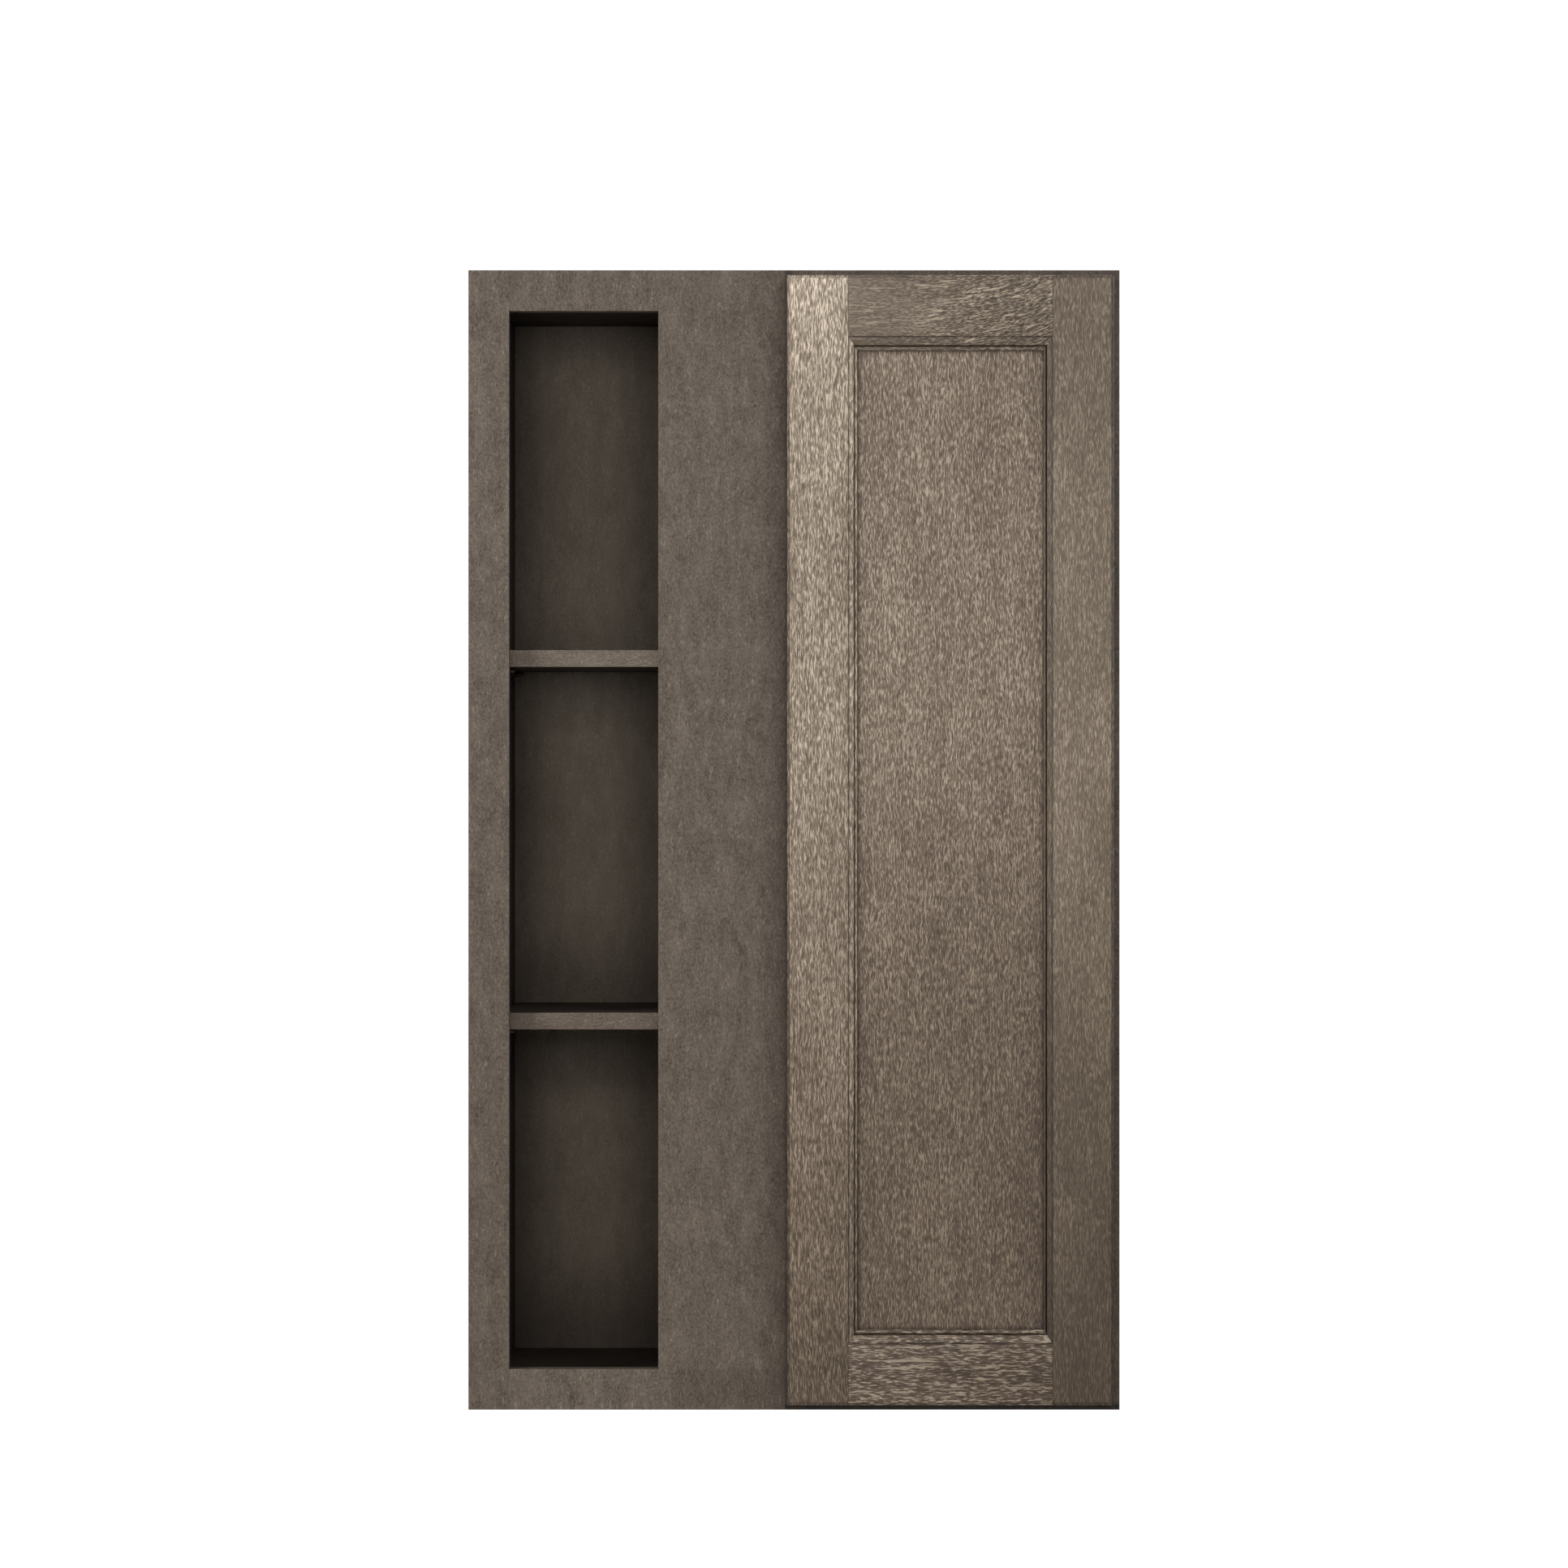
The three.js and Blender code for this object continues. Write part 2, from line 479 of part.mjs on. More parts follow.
// Base: a flat plate screwed to the stile's inner edge, which carries the arm.
function hingeBase() {
  const plate = block(
    [0, BASE_PLATE],
    [FRAME_FRONT_Y + BASE_EDGE, FRAME_BACK_Y - BASE_EDGE],
    [-BASE_HEIGHT / 2, BASE_HEIGHT / 2],
  );
  const holes = [-1, 1].map((side) => bar(
    'x', SCREW_HOLE_RADIUS, BASE_PLATE + 2 * OVERCUT,
    [-OVERCUT, BASE_SCREW_Y, side * BASE_SCREW_SPACING / 2], SCREW_HOLE_SIDES,
  ));
  return carve(plate, { cut: holes });
}

// A screw along +Y, its head's underside at the origin.
function screw(length) {
  const profile = [
    [0, -SCREW_HEAD_HEIGHT],
    [SCREW_HEAD * SCREW_HEAD_CROWN, -SCREW_HEAD_HEIGHT],
    [SCREW_HEAD, -SCREW_HEAD_HEIGHT * SCREW_HEAD_RIM],
    [SCREW_HEAD, 0],
    [SCREW_SHANK, 0],
    [SCREW_SHANK, length - 2 * SCREW_SHANK],
    [0, length],
  ].map(([radius, along]) => new THREE.Vector2(radius, along));
  return new THREE.LatheGeometry(profile, SCREW_SIDES);
}

for (const [name, z] of HINGE_ZS) {
  addPiece(`hinge_${name}_cup`, hingeCup(), hingeSteel, [CUP_X, DOOR_BACK_Y, z]);
  const pin = bar('z', PIVOT_RADIUS, 2 * PIVOT_REACH, [0, 0, -PIVOT_REACH], PIVOT_SIDES);
  addPiece(`hinge_${name}_pin`, pin, hingeSteel, [PIVOT_X, PIVOT_Y, z]);
  addPiece(`hinge_${name}_arm`, hingeArm(), hingeSteel, [PIVOT_X, PIVOT_Y, z]);
  addPiece(`hinge_${name}_base`, hingeBase(), hingeSteel, [BASE_X, 0, z]);
  for (const [end, side] of [['low', -1], ['high', 1]]) {
    addPiece(`hinge_${name}_cup_screw_${end}`, screw(CUP_SCREW_LENGTH).rotateZ(Math.PI), hingeSteel,
      [cupScrewX, DOOR_BACK_Y + 2 * FIT + FLANGE, z + side * CUP_SCREW_SPACING / 2]);
    addPiece(`hinge_${name}_base_screw_${end}`, screw(BASE_SCREW_LENGTH).rotateZ(-Math.PI / 2),
      hingeSteel, [BASE_X - FIT, BASE_SCREW_Y, z + side * BASE_SCREW_SPACING / 2]);
  }
}

export default cabinet;
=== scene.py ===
"""Looks for the hanging corner wall cabinet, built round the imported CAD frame.

Everything is in metres in the CAD's own frame: the front faces -Y, +X is to the right of someone
facing the front, +Z is up. Sizes below in millimetres carry the MM factor.
"""

import math

import bmesh
import bpy
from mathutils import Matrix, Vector


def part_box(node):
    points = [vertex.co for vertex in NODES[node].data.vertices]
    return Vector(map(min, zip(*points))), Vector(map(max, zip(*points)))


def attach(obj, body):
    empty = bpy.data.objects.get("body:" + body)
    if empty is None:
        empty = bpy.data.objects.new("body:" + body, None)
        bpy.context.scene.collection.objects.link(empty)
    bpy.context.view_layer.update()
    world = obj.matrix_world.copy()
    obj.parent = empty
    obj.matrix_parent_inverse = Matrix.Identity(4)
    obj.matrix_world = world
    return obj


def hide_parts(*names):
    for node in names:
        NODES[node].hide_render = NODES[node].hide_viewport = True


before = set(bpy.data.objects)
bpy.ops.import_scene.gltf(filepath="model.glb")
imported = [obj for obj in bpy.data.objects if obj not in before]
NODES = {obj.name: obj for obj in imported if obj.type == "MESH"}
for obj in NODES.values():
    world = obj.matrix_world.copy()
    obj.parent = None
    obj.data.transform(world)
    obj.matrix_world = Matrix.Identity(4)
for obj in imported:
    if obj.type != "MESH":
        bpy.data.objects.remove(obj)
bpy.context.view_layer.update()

MM = 0.001


def span(node, axis):
    """Where a CAD node starts and ends along one axis: 0 is X, 1 is Y, 2 is Z."""
    low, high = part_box(node)
    return low[axis], high[axis]


def middle(node):
    """The centre of a CAD node's box."""
    low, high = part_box(node)
    return (Vector(low) + Vector(high)) / 2


X, Y, Z = 0, 1, 2
FRAME_FRONT = span("frame_left_stile", Y)[0]
FRAME_BACK = span("frame_left_stile", Y)[1]
DOOR_FRONT = span("door_left_stile", Y)[0]
DOOR_BACK = span("door_left_stile", Y)[1]
DOOR_LEFT = span("door_left_stile", X)[0]
DOOR_RIGHT = span("door_right_stile", X)[1]
DOOR_LOW, DOOR_HIGH = span("door_left_stile", Z)
CASE_TOP = span("frame_left_stile", Z)[1]
CASE_LEFT = span("frame_left_stile", X)[0]
CASE_RIGHT = span("frame_right_stile", X)[1]


# ---- Meshes -----------------------------------------------------------------------------------
def finish_mesh(name, bm, smooth_angle=35):
    """Turns a bmesh into an object whose soft edges shade smooth and whose hard ones stay sharp."""
    bmesh.ops.recalc_face_normals(bm, faces=bm.faces)
    limit = math.radians(smooth_angle)
    for face in bm.faces:
        face.smooth = True
    for edge in bm.edges:
        edge.smooth = len(edge.link_faces) == 2 and edge.calc_face_angle(0) < limit
    mesh = bpy.data.meshes.new(name)
    bm.to_mesh(mesh)
    bm.free()
    piece = bpy.data.objects.new(name, mesh)
    bpy.context.scene.collection.objects.link(piece)
    return piece


def loft(bm, rings):
    """Skins a list of closed loops, each with the same number of points, and caps both ends."""
    loops = [[bm.verts.new(point) for point in ring] for ring in rings]
    count = len(loops[0])
    for first, second in zip(loops, loops[1:]):
        for i in range(count):
            j = (i + 1) % count
            bm.faces.new((first[i], first[j], second[j], second[i]))
    bm.faces.new(loops[0])
    bm.faces.new(list(reversed(loops[-1])))


def arc(centre, radius, start, end, steps):
    """Points on an arc in a plane, angles in degrees."""
    points = []
    for i in range(steps + 1):
        angle = math.radians(start + (end - start) * i / steps)
        points.append((centre[0] + radius * math.cos(angle), centre[1] + radius * math.sin(angle)))
    return points


EASE_STEPS = 3


def eased(depth, radius):
    """(inset, depth) pairs that round an arris of that radius, from the side up to the face."""
    pairs = []
    for i in range(EASE_STEPS + 1):
        angle = math.pi / 2 * i / EASE_STEPS
        pairs.append((radius * (1 - math.cos(angle)), depth + radius * (1 - math.sin(angle))))
    return pairs


def board(name, x, z, front, back, ease):
    """A board in the XZ plane whose front arrises are rounded by ease = (left, right, low, high)."""
    levels = [(back, (0, 0, 0, 0))]
    for i in range(EASE_STEPS + 1):
        angle = math.pi / 2 * i / EASE_STEPS
        insets = [radius * (1 - math.cos(angle)) for radius in ease]
        levels.append((front + max(ease) * (1 - math.sin(angle)), insets))
    rings = []
    for y, (left, right, low, high) in levels:
        rings.append([
            (x[0] + left, y, z[0] + low), (x[1] - right, y, z[0] + low),
            (x[1] - right, y, z[1] - high), (x[0] + left, y, z[1] - high),
        ])
    bm = bmesh.new()
    loft(bm, rings)
    return finish_mesh(name, bm)


SAME_POINT = 0.0001 * MM


def turned(bm, profile, origin, direction, sides=40, recess=None):
    """Skins a profile of (radius, along) points about a line. It starts and ends on the axis, or
    else it keeps off the axis and closes on itself as a ring."""
    profile = [point for i, point in enumerate(profile)
               if i == 0 or math.dist(point, profile[i - 1]) > SAME_POINT]
    axis = Vector(direction)
    first = axis.orthogonal().normalized()
    second = axis.cross(first)
    loops = []
    for radius, along in profile:
        count = sides if radius > 0 else 1
        loop = []
        for i in range(count):
            angle = 2 * math.pi * i / count
            a, b = radius * math.cos(angle), radius * math.sin(angle)
            height = along - recess(a, b, along) if recess else along
            loop.append(bm.verts.new(Vector(origin) + first * a + second * b + axis * height))
        loops.append(loop)
    if profile[0][0] > 0:
        loops.append(loops[0])
    for low, high in zip(loops, loops[1:]):
        for i in range(sides):
            j = (i + 1) % sides
            if len(low) == 1:
                bm.faces.new((low[0], high[i], high[j]))
            elif len(high) == 1:
                bm.faces.new((low[i], low[j], high[0]))
            else:
                bm.faces.new((low[i], low[j], high[j], high[i]))


def slab(bm, outline, low, high, place, soften):
    """Extrudes a closed outline from low to high, and rounds its arrises by a small bevel."""
    start = len(bm.verts)
    loft(bm, [[place(a, b, level) for a, b in outline] for level in (low, high)])
    fresh = set(list(bm.verts)[start:])
    edges = [e for e in bm.edges if e.verts[0] in fresh and e.verts[1] in fresh]
    sharp = [e for e in edges if e.calc_face_angle(0) > math.radians(30)]
    bmesh.ops.bevel(bm, geom=sharp, offset=soften, segments=2, profile=0.5, affect="EDGES")


def rounded_plate(x, y, radius):
    """A rectangle's outline with rounded corners."""
    outline = []
    corners = [(x[1] - radius, y[1] - radius, 0), (x[0] + radius, y[1] - radius, 90),
               (x[0] + radius, y[0] + radius, 180), (x[1] - radius, y[0] + radius, 270)]
    for cx, cy, start in corners:
        outline += arc((cx, cy), radius, start, start + 90, 6)
    return outline


# ---- Materials --------------------------------------------------------------------------------
def linear(rgb):
    """An sRGB colour of 0 to 255 a channel as the linear values that Blender's sockets take."""
    values = [c / 255 for c in rgb]
    return [v / 12.92 if v <= 0.04045 else ((v + 0.055) / 1.055) ** 2.4 for v in values] + [1]


class Nodes:
    """Short calls for building one material's nodes."""

    def __init__(self, name):
        self.material = bpy.data.materials.new(name)
        self.material.use_nodes = True
        self.tree = self.material.node_tree
        self.shader = self.tree.nodes["Principled BSDF"]

    def add(self, kind, inputs=(), **settings):
        node = self.tree.nodes.new(kind)
        for key, value in settings.items():
            setattr(node, key, value)
        for key, value in dict(inputs).items():
            socket = node.inputs[key]
            if isinstance(value, bpy.types.NodeSocket):
                self.tree.links.new(value, socket)
            else:
                socket.default_value = value
        return node

    def math(self, operation, a, b=0.0, clamp=False):
        node = self.add("ShaderNodeMath", {0: a, 1: b}, operation=operation, use_clamp=clamp)
        return node.outputs[0]

    def vector(self, operation, a, b):
        node = self.add("ShaderNodeVectorMath", {0: a, 1: b}, operation=operation)
        return node.outputs[0]

    def scaled_noise(self, point, scale, detail=2.0, roughness=0.5, distortion=0.0):
        """Noise on a point stretched by a different scale along each axis, per metre."""
        stretched = self.vector("MULTIPLY", point, scale)
        inputs = {"Vector": stretched, "Scale": 1.0, "Detail": detail, "Roughness": roughness,
                  "Distortion": distortion}
        return self.add("ShaderNodeTexNoise", inputs).outputs["Fac"]

    def remap(self, value, low, high, to_low=0.0, to_high=1.0, smooth=True):
        inputs = {"Value": value, "From Min": low, "From Max": high, "To Min": to_low,
                  "To Max": to_high}
        kind = "SMOOTHSTEP" if smooth else "LINEAR"
        return self.add("ShaderNodeMapRange", inputs, interpolation_type=kind).outputs[0]

    def mix(self, factor, a, b, blend="MIX"):
        node = self.add("ShaderNodeMix", data_type="RGBA", blend_type=blend)
        for socket, value in zip((node.inputs[0], node.inputs[6], node.inputs[7]), (factor, a, b)):
            if isinstance(value, bpy.types.NodeSocket):
                self.tree.links.new(value, socket)
            else:
                socket.default_value = value
        return node.outputs[2]

    def grey(self, value):
        """A brightness as a colour, for multiplying another colour by."""
        return self.add("ShaderNodeCombineColor", {0: value, 1: value, 2: value}).outputs[0]

    def curve(self, value, stops):
        """A brightness that follows straight lines between (value, brightness) stops."""
        low, high = stops[0][0], stops[-1][0]
        peak = max(level for _, level in stops)
        ramp = self.add("ShaderNodeValToRGB", {0: self.remap(value, low, high, smooth=False)})
        elements = ramp.color_ramp.elements
        for _ in stops[2:]:
            elements.new(0.5)
        for element, (at, level) in zip(elements, stops):
            element.position = (at - low) / (high - low)
            element.color = (level / peak, level / peak, level / peak, 1)
        return self.math("MULTIPLY", ramp.outputs[0], peak)

    def shade(self, colour, level):
        """The colour at another brightness, a little warmer where it is darker."""
        warm = self.math("POWER", level, 0.92)
        cool = self.math("POWER", level, 1.08)
        tint = self.add("ShaderNodeCombineColor", {0: warm, 1: level, 2: cool}).outputs[0]
        return self.mix(1.0, colour, tint, "MULTIPLY")

    def parts(self, point):
        return self.add("ShaderNodeSeparateXYZ", {0: point}).outputs

    def finish(self, colour, roughness, height=None, relief=0.0, specular=0.4):
        links = self.tree.links
        links.new(colour, self.shader.inputs["Base Color"])
        if isinstance(roughness, bpy.types.NodeSocket):
            links.new(roughness, self.shader.inputs["Roughness"])
        else:
            self.shader.inputs["Roughness"].default_value = roughness
        self.shader.inputs["Specular IOR Level"].default_value = specular
        if height is not None:
            inputs = {"Height": height, "Distance": relief, "Strength": 1.0}
            bump = self.add("ShaderNodeBump", inputs)
            links.new(bump.outputs[0], self.shader.inputs["Normal"])
        return self.material


GRAIN_TURN = {"Z": (0, 0, 0), "X": (0, math.pi / 2, 0)}


def grain_point(nodes, grain, offset, warp, warp_scale=(38, 38, 14)):
    """Object coordinates turned so that the grain runs along Z, and bent a little sideways."""
    place = nodes.add("ShaderNodeTexCoord").outputs["Object"]
    aligned = nodes.add("ShaderNodeMapping", {
        "Vector": place, "Rotation": GRAIN_TURN[grain], "Location": offset,
    }).outputs[0]
    inputs = {"Vector": nodes.vector("MULTIPLY", aligned, warp_scale), "Scale": 1.0, "Detail": 3.0}
    bend = nodes.add("ShaderNodeTexNoise", inputs).outputs["Color"]
    centred = nodes.vector("SUBTRACT", bend, (0.5, 0.5, 0.5))
    shift = nodes.vector("MULTIPLY", centred, (warp, warp, warp))
    return place, nodes.vector("ADD", aligned, shift)


PORE_STAIN = (64, 50, 39)


def door_wood(name, grain="Z", offset=(0, 0, 0), warp=5 * MM, warp_scale=(60, 60, 40),
              fleck=(1.0, 6), amount=1.0, tone=None, figure=None, strength=None, streaks=0.0,
              mid=(124, 107, 91), light=(206, 190, 167)):
    """Open-pored stained wood: fine light flecks and dark pores along the grain."""
    nodes = Nodes(name)
    place, point = grain_point(nodes, grain, offset, warp, warp_scale)
    if figure is not None:
        point = nodes.vector("ADD", point, figure(nodes, place))
    across, along = 1 / (fleck[0] * MM), 1 / (fleck[1] * MM)
    flecks = nodes.scaled_noise(point, (across, across, along), 2.0, 0.5)
    coarse = nodes.scaled_noise(point, (across * 0.45, across * 0.45, along * 0.4), 2.0, 0.5)
    cloud = nodes.scaled_noise(point, (22, 22, 8), 3.0, 0.5)
    lines = nodes.scaled_noise(point, (across * 0.8, across * 0.8, along * 0.14), 2.0, 0.5)
    level = nodes.math("ADD", nodes.math("MULTIPLY", flecks, 0.74), nodes.math("MULTIPLY", coarse, 0.08))
    level = nodes.math("ADD", level, nodes.math("MULTIPLY", lines, 0.24))
    drift = nodes.math("MULTIPLY", nodes.math("SUBTRACT", cloud, 0.5), 0.06)
    level = nodes.math("ADD", level, drift)
    raised = nodes.remap(level, 0.53, 0.65)
    sunk = nodes.remap(level, 0.53, 0.41)
    if strength is not None:
        raised = nodes.math("MULTIPLY", raised, strength(nodes, place))
        sunk = nodes.math("MULTIPLY", sunk, strength(nodes, place))
    share = 0.62 * amount
    ground = nodes.mix(nodes.math("MULTIPLY", sunk, share), linear(mid), linear(PORE_STAIN))
    if streaks:
        bold = nodes.scaled_noise(point, (across * 0.5, across * 0.5, along * 0.11), 1.0, 0.5)
        bold = nodes.remap(bold, 0.63, 0.70, 0.0, streaks)
        if strength is not None:
            bold = nodes.math("MULTIPLY", bold, strength(nodes, place))
        raised = nodes.math("MAXIMUM", raised, bold)
    colour = nodes.mix(nodes.math("MULTIPLY", raised, share), ground, linear(light))
    patch = nodes.remap(cloud, 0.3, 0.7, 0.92, 1.08, smooth=False)
    colour = nodes.shade(colour, patch)
    if tone is not None:
        colour = nodes.shade(colour, tone(nodes, place))
    rough = nodes.remap(level, 0.4, 0.66, 0.62, 0.42, smooth=False)
    height = nodes.math("SUBTRACT", raised, nodes.math("MULTIPLY", sunk, 0.8))
    return nodes.finish(colour, rough, height, 0.10 * MM, 0.42)


def frame_wood(name, colour_mid=(101, 90, 79), contrast=1.0, offset=(0, 0, 0), grain="Z", tone=None):
    """Close-grained stained wood: soft mottling under a fine speckle of short pale fibres."""
    nodes = Nodes(name)
    place, point = grain_point(nodes, grain, offset, 2 * MM)
    speck = nodes.scaled_noise(point, (640, 640, 420), 3.0, 0.7)
    fibre = nodes.scaled_noise(point, (560, 560, 150), 2.0, 0.5, 0.4)
    cloud = nodes.scaled_noise(point, (70, 70, 26), 5.0, 0.66)
    level = nodes.math("ADD", nodes.math("MULTIPLY", speck, 0.62), nodes.math("MULTIPLY", cloud, 0.38))
    shade = nodes.remap(level, 0.3, 0.7, 1 - 0.62 * contrast, 1 + 0.62 * contrast, smooth=False)
    pale = nodes.remap(fibre, 0.56, 0.72, 1.0, 1 + 0.45 * contrast)
    colour = nodes.shade(linear(colour_mid), nodes.math("MULTIPLY", shade, pale))
    if tone is not None:
        colour = nodes.shade(colour, tone(nodes, place))
    rough = nodes.remap(level, 0.36, 0.66, 0.66, 0.5, smooth=False)
    return nodes.finish(colour, rough, speck, 0.04 * MM, 0.35)


def metal(name, rgb, rough):
    """Plated steel with a faint drawn grain."""
    nodes = Nodes(name)
    place = nodes.add("ShaderNodeTexCoord").outputs["Object"]
    lines = nodes.scaled_noise(place, (900, 900, 60), 3.0, 0.6)
    colour = nodes.mix(1.0, linear(rgb), nodes.grey(nodes.remap(lines, 0.3, 0.7, 0.9, 1.06)), "MULTIPLY")
    nodes.shader.inputs["Metallic"].default_value = 0.72
    return nodes.finish(colour, nodes.remap(lines, 0.3, 0.7, rough * 0.85, rough * 1.2), lines,
                        0.01 * MM, 0.6)


def clear_rubber(name):
    """Milky clear bumper plastic."""
    nodes = Nodes(name)
    place = nodes.add("ShaderNodeTexCoord").outputs["Object"]
    mist = nodes.scaled_noise(place, (900, 900, 900), 2.0, 0.5)
    colour = nodes.mix(mist, linear((205, 205, 200)), linear((232, 232, 228)))
    nodes.shader.inputs["Transmission Weight"].default_value = 0.35
    nodes.shader.inputs["Subsurface Weight"].default_value = 0.2
    return nodes.finish(colour, 0.35, mist, 0.01 * MM, 0.5)


def wear(piece, material):
    piece.data.materials.clear()
    piece.data.materials.append(material)


def place_piece(piece, body, node):
    """Gives a new piece its body, and hides the CAD node that it stands for."""
    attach(piece, body)
    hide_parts(node)


# ---- Face frame -------------------------------------------------------------------------------
def frame_tone(nodes, place):
    """Painted shade close to the shut door and in the reveals below and above it, painted light and shade
    along the foot and up the left stile, faint cross bands, and two filled nail holes.
    """
    parts = nodes.parts(place)
    # Painted shade: the door's shadow on the frame beside its left and right edges.
    beside = nodes.curve(parts["X"], [
        (DOOR_LEFT - 34 * MM, 1.0), (DOOR_LEFT - 18 * MM, 0.90), (DOOR_LEFT - 8 * MM, 0.83),
        (DOOR_LEFT - 4 * MM, 0.72), (DOOR_LEFT - 1 * MM, 0.50), (DOOR_LEFT + 2 * MM, 0.58),
        (DOOR_LEFT + 6 * MM, 1.0), (DOOR_RIGHT, 1.0), (DOOR_RIGHT + 1 * MM, 0.82),
        (DOOR_RIGHT + 6 * MM, 0.82),
    ])
    # Painted shade in the reveals below and above the door.
    past_end = nodes.curve(parts["Z"], [
        (0, 0.30), (DOOR_LOW, 0.30), (DOOR_LOW + 2 * MM, 1.0), (DOOR_HIGH - 2 * MM, 1.0),
        (DOOR_HIGH, 0.61), (CASE_TOP, 0.61),
    ])
    under_door = nodes.math("GREATER_THAN", parts["X"], DOOR_LEFT - 2 * MM)
    past_end = nodes.remap(under_door, 0, 1, 1.0, past_end, smooth=False)
    # Painted light and shade along the bottom rail.
    along_foot = nodes.curve(parts["X"], [
        (CASE_LEFT, 0.94), (left_x[1], 1.08), (mid_x[0] - 10 * MM, 1.08), (mid_x[0] + 30 * MM, 0.84),
        (CASE_RIGHT, 0.78),
    ])
    foot = nodes.math("LESS_THAN", parts["Z"], bottom_z[1])
    along_foot = nodes.remap(foot, 0, 1, 1.0, along_foot, smooth=False)
    at_left = nodes.math("LESS_THAN", parts["X"], left_x[1])
    # Painted light: the left stile lighter towards its top, the rest of the frame a touch darker.
    rise = nodes.curve(parts["Z"], [(0, 0.93), (0.25, 0.93), (0.6, 0.96), (0.9, 1.02), (1.1, 1.02)])
    rise = nodes.remap(at_left, 0, 1, 0.985, rise, smooth=False)
    tone = nodes.math("MULTIPLY", nodes.math("MULTIPLY", beside, past_end), along_foot)
    tone = nodes.math("MULTIPLY", tone, rise)
    for band in CROSS_BANDS:
        away = nodes.math("ABSOLUTE", nodes.math("SUBTRACT", parts["Z"], band))
        tone = nodes.math("MULTIPLY", tone, nodes.remap(away, 0, 2.2 * MM, 1.10, 1.0))
    for nail in NAILS:
        away = nodes.add("ShaderNodeVectorMath", {0: place, 1: nail}, operation="DISTANCE").outputs[1]
        tone = nodes.math("MULTIPLY", tone, nodes.remap(away, 0.6 * MM, 1.4 * MM, 0.45, 1.0))
    return tone


CROSS_BANDS = (CASE_TOP - 68 * MM, CASE_TOP - 125 * MM)
NAILS = [(DOOR_LEFT - 30 * MM, FRAME_FRONT, CASE_TOP - drop * MM) for drop in (84, 127)]
EASE = 0.4 * MM
NO_EASE = 0.05 * MM

left_x = span("frame_left_stile", X)
right_x = span("frame_right_stile", X)
mid_x = span("frame_mid_stile", X)
full_z = span("frame_left_stile", Z)
top_z = span("frame_top_rail", Z)
bottom_z = span("frame_bottom_rail", Z)
rail_x = (left_x[1], right_x[0])
frame_material = frame_wood("frame_wood", contrast=1.16, tone=frame_tone)
FRAME_BOARDS = {
    "frame_left_stile": (left_x, full_z, (EASE, NO_EASE, EASE, EASE)),
    "frame_right_stile": (right_x, full_z, (NO_EASE, EASE, EASE, EASE)),
    "frame_top_rail": (rail_x, top_z, (NO_EASE, NO_EASE, NO_EASE, EASE)),
    "frame_bottom_rail": (rail_x, bottom_z, (NO_EASE, NO_EASE, EASE, NO_EASE)),
    "frame_mid_stile": (mid_x, (bottom_z[1], top_z[0]), (NO_EASE, NO_EASE, NO_EASE, NO_EASE)),
}
for node, (x, z, ease) in FRAME_BOARDS.items():
    piece = board(f"{node}_finished", x, z, FRAME_FRONT, FRAME_BACK, ease)
    wear(piece, frame_material)
    place_piece(piece, "cabinet", node)

# ---- Case -------------------------------------------------------------------------------------
INSIDE_LOW = Vector((span("left_side", X)[1], FRAME_BACK, span("bottom_panel", Z)[1]))
INSIDE_HIGH = Vector((span("right_side", X)[0], span("back_panel", Y)[0], span("top_panel", Z)[0]))


def inside_tone(nodes, place, inner, outer=1.0):
    """The brightness inner on faces that line the inside of the case, and outer elsewhere."""
    centre = (INSIDE_LOW + INSIDE_HIGH) / 2
    half = (INSIDE_HIGH - INSIDE_LOW) / 2 + Vector((0.5, 0.5, 0.5)) * MM
    away = nodes.vector("SUBTRACT", place, tuple(centre))
    room = nodes.add("ShaderNodeVectorMath", {0: away}, operation="ABSOLUTE").outputs[0]
    room = nodes.vector("SUBTRACT", tuple(half), room)
    parts = nodes.parts(room)
    least = nodes.math("MINIMUM", nodes.math("MINIMUM", parts["X"], parts["Y"]), parts["Z"])
    return nodes.remap(least, 0, 0.1 * MM, outer, inner, smooth=False)


def back_tone(nodes, place):
    """Painted shade towards the opening's sides and each compartment's foot, and painted light under each
    compartment's head, on the panel's front, and one plain level on its back.
    """
    parts = nodes.parts(place)
    # Painted shade towards the opening's left and right sides.
    left = nodes.remap(parts["X"], INSIDE_LOW.x - 12 * MM, INSIDE_LOW.x + 62 * MM, 0.34, 1.0)
    right = nodes.remap(parts["X"], INSIDE_LOW.x + 62 * MM, mid_x[0] + 10 * MM, 1.0, 0.50)
    tone = nodes.math("MULTIPLY", left, right)
    for low, high, foot, fade, gain, head_gain in COMPARTMENTS:
        # Painted light under the compartment's head and painted shade at its foot.
        head = nodes.remap(parts["Z"], high - HEAD_FADE, high, 1.0, head_gain)
        lift = nodes.remap(parts["Z"], low, low + fade, foot * gain, gain)
        lift = nodes.math("MULTIPLY", lift, head)
        under = nodes.math("LESS_THAN", parts["Z"], high)
        above = nodes.math("GREATER_THAN", parts["Z"], low)
        inside = nodes.math("MULTIPLY", under, above)
        change = nodes.math("MULTIPLY", nodes.math("SUBTRACT", lift, 1.0), inside)
        tone = nodes.math("MULTIPLY", tone, nodes.math("ADD", change, 1.0))
    behind = nodes.math("GREATER_THAN", parts["Y"], INSIDE_HIGH.y + 1 * MM)
    return nodes.remap(behind, 0, 1, tone, BACK_PANEL_REAR, smooth=False)


shelf_z = [span("shelf_lower", Z), span("shelf_upper", Z)]
